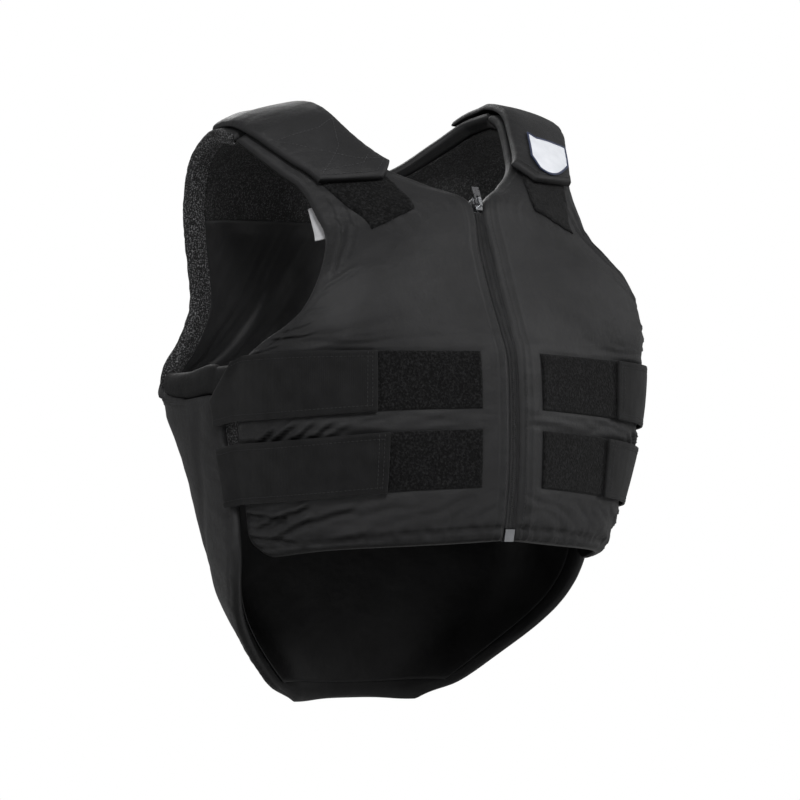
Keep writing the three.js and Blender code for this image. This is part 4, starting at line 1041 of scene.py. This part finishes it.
def side_strap(top, end, slanted, seed):
    line, normal = strap_rows(top, end, slanted)
    u = run_along(line)
    v = np.repeat(np.linspace(0, STRAP_HEIGHT, len(line))[:, None], line.shape[1], axis=1)
    across = np.minimum(v, STRAP_HEIGHT - v)
    wave = 0.55 * noise(u / 46 + seed, v / 60) + 0.3 * noise(u / 17 + seed, v / 24)
    wave = wave + 0.25 * noise(u / 9, v / 40 + seed)
    hem = 0.45 * bell(across, 1.7, 1.3) - 0.35 * bell(across, 4.2, 0.7)
    low = -0.35 + wave * np.clip(u / 12, 0, 1)
    high = low + WEBBING * 0.82 + hem
    grid = lambda h: line + normal * h[..., None]
    return shell(grid(high), grid(low), np.stack([u, v], axis=-1), bulge=0.5), grid(high), normal, u[0]


STRAPS = (("upper", UPPER_STRAP_TOP, UPPER_STRAP_END, True),
          ("lower", LOWER_STRAP_TOP, LOWER_STRAP_END, False))
for side, seed in SEEDS.items():
    mirror = side == "right"
    for level, top, end, slanted in STRAPS:
        (points, faces, uv), grid = front_loop(top, seed)
        piece = make(f"loop_tape_{level}_{side}", points, faces, LOOP, uv, mirror,
                     nodes=[f"front_loop_{level}_{side}"])
        declare(grid, PILE_SHARE)
        (points, faces, uv), outer, normal, reach = side_strap(top, end, slanted, seed + top)
        piece = make(f"webbing_strap_{level}_{side}", points, faces, WEB, uv, mirror,
                     nodes=[f"side_strap_{level}_{side}"])
        declare(outer)
        raised = outer + normal * STITCH_LIFT
        near, second = (int(np.argmin(np.abs(reach - inset))) for inset in (5, 9))
        paths = [(raised[k, near:], normal[k, near:]) for k in (2, len(outer) - 3)]
        paths += [(raised[:, k], normal[:, k]) for k in (near, second)]
        sewn(f"strap_stitches_{level}_{side}", paths, DARK_THREAD, side)

# Shoulders

SHOULDER_LOOP_LINES = 40
SHOULDER_LOOP = np.array([[[0.4, 8.15], [0.72, 7.9]], [[0.12, 10.25], [0.84, 10.3]]])
FLAP = {"tip": 9.1, "lean": 0.9, "cut": 0.85, "cut_share": 0.33, "neck": 0.02,
        "arm_tip": 0.86, "arm_top": 0.93, "behind": 1.4}
FLAP_BESIDE = (0.5, 1.2, 2.4, 4, 6, 9)
TOP_REACH, TOP_STEPS, TOP_LIFT, CORNER_DROP = 0.2, 9, 8, 2.4


def shoulder_loop(seed):
    lines = np.linspace(0, 1, SHOULDER_LOOP_LINES)
    t, f = np.meshgrid(lines, lines, indexing="ij")
    low = SHOULDER_LOOP[0, 0] + (SHOULDER_LOOP[0, 1] - SHOULDER_LOOP[0, 0]) * f[..., None]
    high = SHOULDER_LOOP[1, 0] + (SHOULDER_LOOP[1, 1] - SHOULDER_LOOP[1, 0]) * f[..., None]
    spot = low + (high - low) * t[..., None]
    share, place = spot[..., 0], spot[..., 1]
    u, v, _ = cells(front, share, place)
    rim = np.minimum(np.minimum(t, 1 - t), np.minimum(f, 1 - f)) * 50
    pile = 0.25 * noise(u / 1.9 + seed, v / 1.9)
    height = LOOP_TAPE * (0.5 + 0.5 * np.clip(rim / 1.5, 0, 1)) + pile * np.clip(rim / 3, 0, 1)
    upper = on_front(share, place, seed, SEATED + height)
    lower = on_front(share, place, seed, SEATED)
    return shell(upper, lower, np.stack([u, v], axis=-1), bulge=0.3), upper


def flap_line(across, along):
    """Points and normals of a flap's underside, evened out over the top of the shoulder."""
    across, along = np.broadcast_arrays(np.asarray(across, float), np.asarray(along, float))
    reach = TOP_REACH * np.exp(-((along - 1) / 0.34) ** 4)
    steps = np.linspace(-1, 1, TOP_STEPS)
    spots = [flap_spot(across, np.clip(along + reach * step, 0, 2)) for step in steps]
    point = sum(p for p, _ in spots) / TOP_STEPS
    normal = unit(sum(n for _, n in spots))
    drop = within(across, 0.97, 2, 0.3) * within(along, 1.75, 3, 0.45)
    return point + normal * (TOP_LIFT * reach - CORNER_DROP * drop)[..., None], normal


def flap_spot(across, along):
    arm = FLAP["arm_tip"] + (FLAP["arm_top"] - FLAP["arm_tip"]) * np.minimum(1, along)
    share = FLAP["neck"] + (arm - FLAP["neck"]) * across
    tip = FLAP["tip"] + FLAP["lean"] * share + FLAP["cut"] * np.maximum(0, 1 - share / FLAP["cut_share"])
    ahead = tip + (front.top - tip) * np.minimum(1, along)
    behind = rear.top - FLAP["behind"] * np.maximum(0, along - 1)
    on = (along <= 1)[..., None]
    point = np.where(on, front.get("crown", share, ahead), rear.get("crown", share, behind))
    normal = unit(np.where(on, front.get("normal", share, ahead), rear.get("normal", share, behind)))
    lift = GAP + (LOOP_TAPE + GAP) * (1 - smooth(np.clip((along - 0.1) / 0.9, 0, 1)))
    return point + normal * lift[..., None], normal


def flap_columns():
    near = np.array([0, 0.012, 0.03, 0.055, 0.09])
    return np.concatenate([near, np.linspace(0.13, 0.87, 30), 1 - near[::-1]])


def flap_top(across, along, seed):
    """The flap's upper side, with its rounded edge and puckers."""
    point, normal = flap_line(across, along)
    u = across * flap_width
    v = np.interp(along, *flap_length)
    edge = np.minimum(np.minimum(u, flap_width - u), np.minimum(v, flap_length[1][-1] - v))
    short = 1 - np.minimum(1, edge / FLAP_ROUND)
    thick = FLAP_EDGE + (FLAP_PAD - FLAP_EDGE) * np.sqrt(1 - short * short)
    puck = np.exp(-edge / 12) * (crease(v / 12 + seed, u / 40) - 0.35)
    puck = puck + 0.6 * noise(u / 26 + seed, v / 22)
    height = thick + puck * np.clip(edge / 4, 0.1, 1) - 0.6 * bell(edge, 5.5, 0.9)
    return point, normal, height, u, v


spine_places = np.linspace(0, 2, 400)
spine_line, _ = flap_line(0.5, spine_places)
flap_length = (spine_places, run_along(spine_line))
cross_line, _ = flap_line(np.linspace(0, 1, 60), np.full(60, 0.7))
flap_width = float(run_along(cross_line)[-1])


def shoulder_flap(seed):
    run = closer(np.linspace(0, flap_length[1][-1], 84), FLAP_BESIDE)
    along = np.interp(run, flap_length[1], flap_length[0])
    across, along = np.meshgrid(flap_columns(), along)
    point, normal, height, u, v = flap_top(across, along, seed)
    grid = lambda h: point + normal * h[..., None]
    return shell(grid(height), grid(np.full_like(height, 0.1)), np.stack([u, v], axis=-1), bulge=0.7)


def flap_path(spots, seed, count):
    """A stitched path over a flap, through spots of across and along."""
    spots = np.array(spots, float)
    at = np.linspace(0, len(spots) - 1, count)
    across = np.interp(at, np.arange(len(spots)), spots[:, 0])
    along = np.interp(at, np.arange(len(spots)), spots[:, 1])
    point, normal, height, _, _ = flap_top(across, along, seed)
    return point + normal * (height + STITCH_LIFT)[..., None], normal


SEAM_IN, SEAM_OUT, CROSSED = 0.07, 0.93, 0.62  # where a flap's seams lie
BORDER_SEAM = [[SEAM_IN, 1.95], [SEAM_IN, 0.05], [SEAM_OUT, 0.05], [SEAM_OUT, 1.95], [SEAM_IN, 1.95]]
CROSS_SEAMS = [[[SEAM_IN, CROSSED], [SEAM_OUT, CROSSED]], [[SEAM_IN, CROSSED], [SEAM_OUT, 0.05]],
               [[SEAM_OUT, CROSSED], [SEAM_IN, 0.05]], [[SEAM_IN, 0.2], [SEAM_OUT, 0.1]]]
for side, seed in SEEDS.items():
    mirror = side == "right"
    (points, faces, uv), grid = shoulder_loop(seed)
    piece = make(f"shoulder_loop_tape_{side}", points, faces, LOOP, uv, mirror,
                 nodes=[f"shoulder_loop_{side}"])
    declare(grid, PILE_SHARE)
    points, faces, uv = shoulder_flap(seed)
    piece = make(f"padded_flap_{side}", points, faces, FLAP_NYLON, uv, mirror,
                 nodes=[f"shoulder_flap_{side}"])
    paths = [flap_path(BORDER_SEAM, seed, 240)]
    if side == "right":
        paths += [flap_path(spots, seed, 60) for spots in CROSS_SEAMS]
    sewn(f"flap_stitches_{side}", paths, PALE_THREAD, side)

# Badge and label

BADGE_LINES = 60
BADGE_PLACE = {"from": 0.23, "to": 0.9, "low": 0.045, "high": 0.53, "corner": 0.17, "round": 2}


def badge_spot(f, t):
    low = BADGE_PLACE["low"] + BADGE_PLACE["corner"] * np.abs(2 * f - 1) ** BADGE_PLACE["round"]
    across = BADGE_PLACE["from"] + (BADGE_PLACE["to"] - BADGE_PLACE["from"]) * f
    return across, low + (BADGE_PLACE["high"] - low) * t


def badge_point(f, t, height):
    across, along = badge_spot(f, t)
    point, normal, _, _, _ = flap_top(across, along, SEEDS["left"])
    return point + normal * (FLAP_PAD + GAP + np.asarray(height))[..., None], normal


line = np.linspace(0, 1, BADGE_LINES)
f, t = np.meshgrid(line, line)
rim = np.minimum(np.minimum(f, 1 - f), np.minimum(t, 1 - t)) * 50
height = BADGE * (0.6 + 0.4 * np.clip(rim / 2.5, 0, 1)) + 0.12 * noise(f * 5, t * 5)
upper, _ = badge_point(f, t, height)
lower, _ = badge_point(f, t, np.zeros_like(f))
points, faces, uv = shell(upper, lower, np.stack([f * 50, t * 50], axis=-1), bulge=0.3)
piece = make("plain_badge", points, faces, BADGE_CLOTH, uv, nodes=["badge_patch"])
declare(upper)

EDGING_RADIUS, EDGING_SIDES, EDGING_SQUASH = 1.1, 10, 0.7


def tube(line, normal, radius, sides, squash):
    """A closed tube along a line, a little flat against what it lies on."""
    ahead = unit(np.roll(line, -1, axis=0) - np.roll(line, 1, axis=0))
    side = unit(np.cross(ahead, normal))
    up = np.cross(side, ahead)
    a = np.linspace(0, 2 * math.pi, sides, endpoint=False)
    ring = np.cos(a)[None, :, None] * side[:, None] + squash * np.sin(a)[None, :, None] * up[:, None]
    points = (line[:, None] + ring * radius).reshape(-1, 3)
    faces = []
    count = len(line)
    for j in range(count):
        for k in range(sides):
            p, q = j * sides + k, j * sides + (k + 1) % sides
            r, s = ((j + 1) % count) * sides + (k + 1) % sides, ((j + 1) % count) * sides + k
            faces.append((p, q, r, s))
    return points, faces


walk = [(line, 0 * line), (1 + 0 * line, line), (1 - line, 1 + 0 * line), (0 * line, 1 - line)]
f = np.concatenate([w[0][:-1] for w in walk])
t = np.concatenate([w[1][:-1] for w in walk])
path, normal = badge_point(f, t, np.full_like(f, BADGE * 0.75))
points, faces = tube(path, normal, EDGING_RADIUS, EDGING_SIDES, EDGING_SQUASH)
make("badge_edging", points, faces, BORDER)

TAG_PLACE = {"low": 8.2, "high": 9.45, "out": 9, "out_high": 1.5, "tuck": 0.93}
TAG_ROWS, TAG_INSIDE, TAG_COLUMNS = 16, 7, 17


def hanging_label():
    """The label's grids: tucked behind the panel, round its edge and out into the armhole."""
    places = np.linspace(TAG_PLACE["low"], TAG_PLACE["high"], TAG_ROWS)
    reach = np.linspace(TAG_PLACE["out"], TAG_PLACE["out_high"], TAG_ROWS)[:, None]
    edge = front.get("crown", 1, places)
    out = unit(edge - front.get("crown", 0.97, places))
    normal = unit(front.get("normal", 1, places))
    tuck = TAG_PLACE["tuck"]
    inward = unit(front.get("normal", tuck, places))
    tucked = front.get("crown", tuck, places) - inward * (PAD / 2 + front.half(tuck, places) + GAP)[..., None]
    beyond = TAG_COLUMNS - TAG_INSIDE
    bend = np.clip(np.arange(TAG_COLUMNS) - 8, 0, 99) / 8
    grids = []
    for height in (0, TAG):
        rim = edge - normal * (PAD + GAP + height)
        far = rim + out * reach
        start = tucked - inward * height
        row = [start + (rim - start) * k for k in np.linspace(0, 1, TAG_INSIDE + 1)[:-1]]
        row += [rim + (far - rim) * k for k in np.linspace(0, 1, beyond)]
        grids.append(np.stack(row, axis=1) - normal[:, None] * (0.8 * np.sin(bend * 2.2))[None, :, None])
    u = np.repeat(np.arange(TAG_COLUMNS)[None] * 1.6, TAG_ROWS, axis=0)
    v = np.repeat(np.linspace(0, 36, TAG_ROWS)[:, None], TAG_COLUMNS, axis=1)
    return shell(grids[0], grids[1], np.stack([u, v], axis=-1), bulge=0.1), grids[0]


(points, faces, uv), grid = hanging_label()
piece = make("blank_label", points, faces, LABEL, uv, True, nodes=["care_tag"])
declare(grid)

# Zip


def zip_line(place):
    edge = front.get("crown", 0, place)
    edge = edge + np.array([0, PAD / 2, 0])
    edge[..., 0] = 0
    return edge


def zip_down(distance):
    return front.place_down(0, distance, 0, NECK_ROW)


neck_down = -float(front.get("crown", 0, NECK_ROW)[2])
zip_low = zip_down(FRONT_LENGTH - STOP_LENGTH - GAP)
zip_high = zip_down(neck_down + SLIDER_LENGTH - SLIDER_ABOVE + GAP)
fine = np.linspace(zip_low, zip_high, 600)
run = run_along(zip_line(fine))
ZIP_RUN = run[-1]


def zip_at(distance):
    place = np.interp(distance, run, fine)
    point = zip_line(place)
    ahead = unit(zip_line(place + 0.03) - zip_line(place - 0.03))
    out = np.cross(np.broadcast_to([1.0, 0, 0], ahead.shape), ahead)
    return point, unit(out), place


TAPE_ROWS, TAPE_COLUMNS, TAPE_START = 150, 14, 0.1
PITCH, TOOTH_SIDES = 1.9, 7
TOOTH = ((-0.75, 0.35), (-0.5, 0.62), (0.4, 0.72), (2.2, 0.72), (2.6, 0.45))  # how far out, size

distance = np.linspace(0, ZIP_RUN, TAPE_ROWS)
point, out, place = zip_at(distance)
rim_x = (front.get("crown", 0, place) - unit(front.get("normal", 0, place)) * PAD / 2)[:, 0] - GAP * 0.6
across = np.linspace(0, 1, TAPE_COLUMNS)
x = TAPE_START + (rim_x[:, None] - TAPE_START) * across
relief = 0.9 * bell(across, 0.72, 0.2) + 0.15 * noise(distance[:, None] / 9, across * 2 + 3)
grids = []
for lift in (1, -1):
    height = lift * TAPE_THICK / 2 + relief
    grid = np.repeat(point[:, None], TAPE_COLUMNS, axis=1) + out[:, None] * height[..., None]
    grid[..., 0] = x
    grids.append(grid)
uv = np.stack([x, np.repeat(distance[:, None], TAPE_COLUMNS, axis=1)], axis=-1)
points, faces, uv = shell(grids[0], grids[1], uv, bulge=0.2)
for side in SEEDS:
    make(f"woven_zip_tape_{side}", points, faces, ZIP_TAPE, uv, side == "right",
         nodes=[f"zip_tape_{side}"])

points, faces = [], []
turn = np.linspace(0, 2 * math.pi, TOOTH_SIDES + 1)[:-1]
for k in range(int(ZIP_RUN / PITCH)):
    for sign in (1, -1):
        middle, up, _ = zip_at(np.array([(k + (0.5 if sign > 0 else 0)) * PITCH + 0.6]))
        middle, up = middle[0], up[0]
        ahead = np.cross(up, [1.0, 0, 0])
        first = len(points)
        for x, size in TOOTH:
            centre = middle + np.array([sign * x, 0, 0]) + up * (0.35 if x < 0 else 0.15)
            for a in turn:
                points.append(centre + (ahead * math.cos(a) * size * 0.82 + up * math.sin(a) * size * 1.5))
        for ring in range(len(TOOTH) - 1):
            start = first + ring * TOOTH_SIDES
            for a in range(TOOTH_SIDES):
                p, q = start + a, start + (a + 1) % TOOTH_SIDES
                faces.append((p, q, q + TOOTH_SIDES, p + TOOTH_SIDES))
        last = len(points)
        faces += [tuple(range(first, first + TOOTH_SIDES))[::-1], tuple(range(last - TOOTH_SIDES, last))]
make("zip_teeth", points, faces, ZIP_TEETH, nodes=["zip_coil"])

for node, material in (("zip_stop", WORN), ("zip_slider", SILVER), ("zip_pull", GUN)):
    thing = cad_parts[node]
    for k in range(len(thing.material_slots)):
        thing.material_slots[k].link = "OBJECT"
        thing.material_slots[k].material = material

# Seams beside the zip

ZIP_SEAM = 3.2

for side, seed in SEEDS.items():
    places = even(front, 0.12, NECK_ROW, 2.5)
    share = ZIP_SEAM / front.get("width", 0.5, places)
    line = on_front(share, places, seed, STITCH_LIFT)
    normal = unit(front.get("normal", share, places))
    sewn(f"zip_seam_{side}", [(line, normal)], THREAD, side)

# Floor and light

FLOOR, FLOOR_RADIUS, FLOOR_SIDES, BACKDROP_RADIUS, WORLD_LIGHT = -1.35, 5.5, 64, 9.0, 0.3

mesh = bpy.data.meshes.new("floor")
turn = np.linspace(0, 2 * math.pi, FLOOR_SIDES + 1)[:-1]
ring = [(FLOOR_RADIUS * math.cos(a), FLOOR_RADIUS * math.sin(a), FLOOR) for a in turn]
mesh.from_pydata(ring, [], [tuple(range(FLOOR_SIDES))])
floor_nodes = Nodes("floor_paint")
floor_nodes.finish((0.86, 0.86, 0.86, 1), 0.9)
mesh.materials.append(floor_nodes.material)
floor = bpy.data.objects.new("floor", mesh)
bpy.context.scene.collection.objects.link(floor)

bm = bmesh.new()
bmesh.ops.create_uvsphere(bm, u_segments=48, v_segments=24, radius=BACKDROP_RADIUS)
mesh = bpy.data.meshes.new("backdrop")
bm.to_mesh(mesh)
bm.free()
backdrop_nodes = Nodes("backdrop_white")
glow = backdrop_nodes.add("ShaderNodeEmission", {"Color": (1, 1, 1, 1), "Strength": 1.0})
backdrop_nodes.tree.links.new(glow.outputs[0], backdrop_nodes.tree.nodes["Material Output"].inputs[0])
mesh.materials.append(backdrop_nodes.material)
backdrop = bpy.data.objects.new("backdrop", mesh)
backdrop.visible_diffuse = False
backdrop.visible_glossy = False
backdrop.visible_transmission = False
backdrop.visible_shadow = False
bpy.context.scene.collection.objects.link(backdrop)

world = bpy.data.worlds.new("studio")
world.use_nodes = True
world.node_tree.nodes["Background"].inputs[0].default_value = (1, 1, 1, 1)
world.node_tree.nodes["Background"].inputs[1].default_value = WORLD_LIGHT
bpy.context.scene.world = world
bpy.context.scene.view_settings.view_transform = "Standard"


def lamp(name, where, size, power):
    data = bpy.data.lights.new(name, "AREA")
    data.size = size
    data.energy = power
    lamp_object = bpy.data.objects.new(name, data)
    lamp_object.location = where
    lamp_object.rotation_euler = (Vector(where) - TARGET).to_track_quat("Z", "Y").to_euler()
    bpy.context.scene.collection.objects.link(lamp_object)


lamp("key", (-1.1, -2.6, 1.9), 0.9, 70)
lamp("fill", (-2.5, -1.1, 0.9), 1.2, 20)
lamp("side", (2.6, -1.6, 0.9), 1.2, 30)
lamp("rim", (0.6, 2.5, 1.7), 1.4, 28)
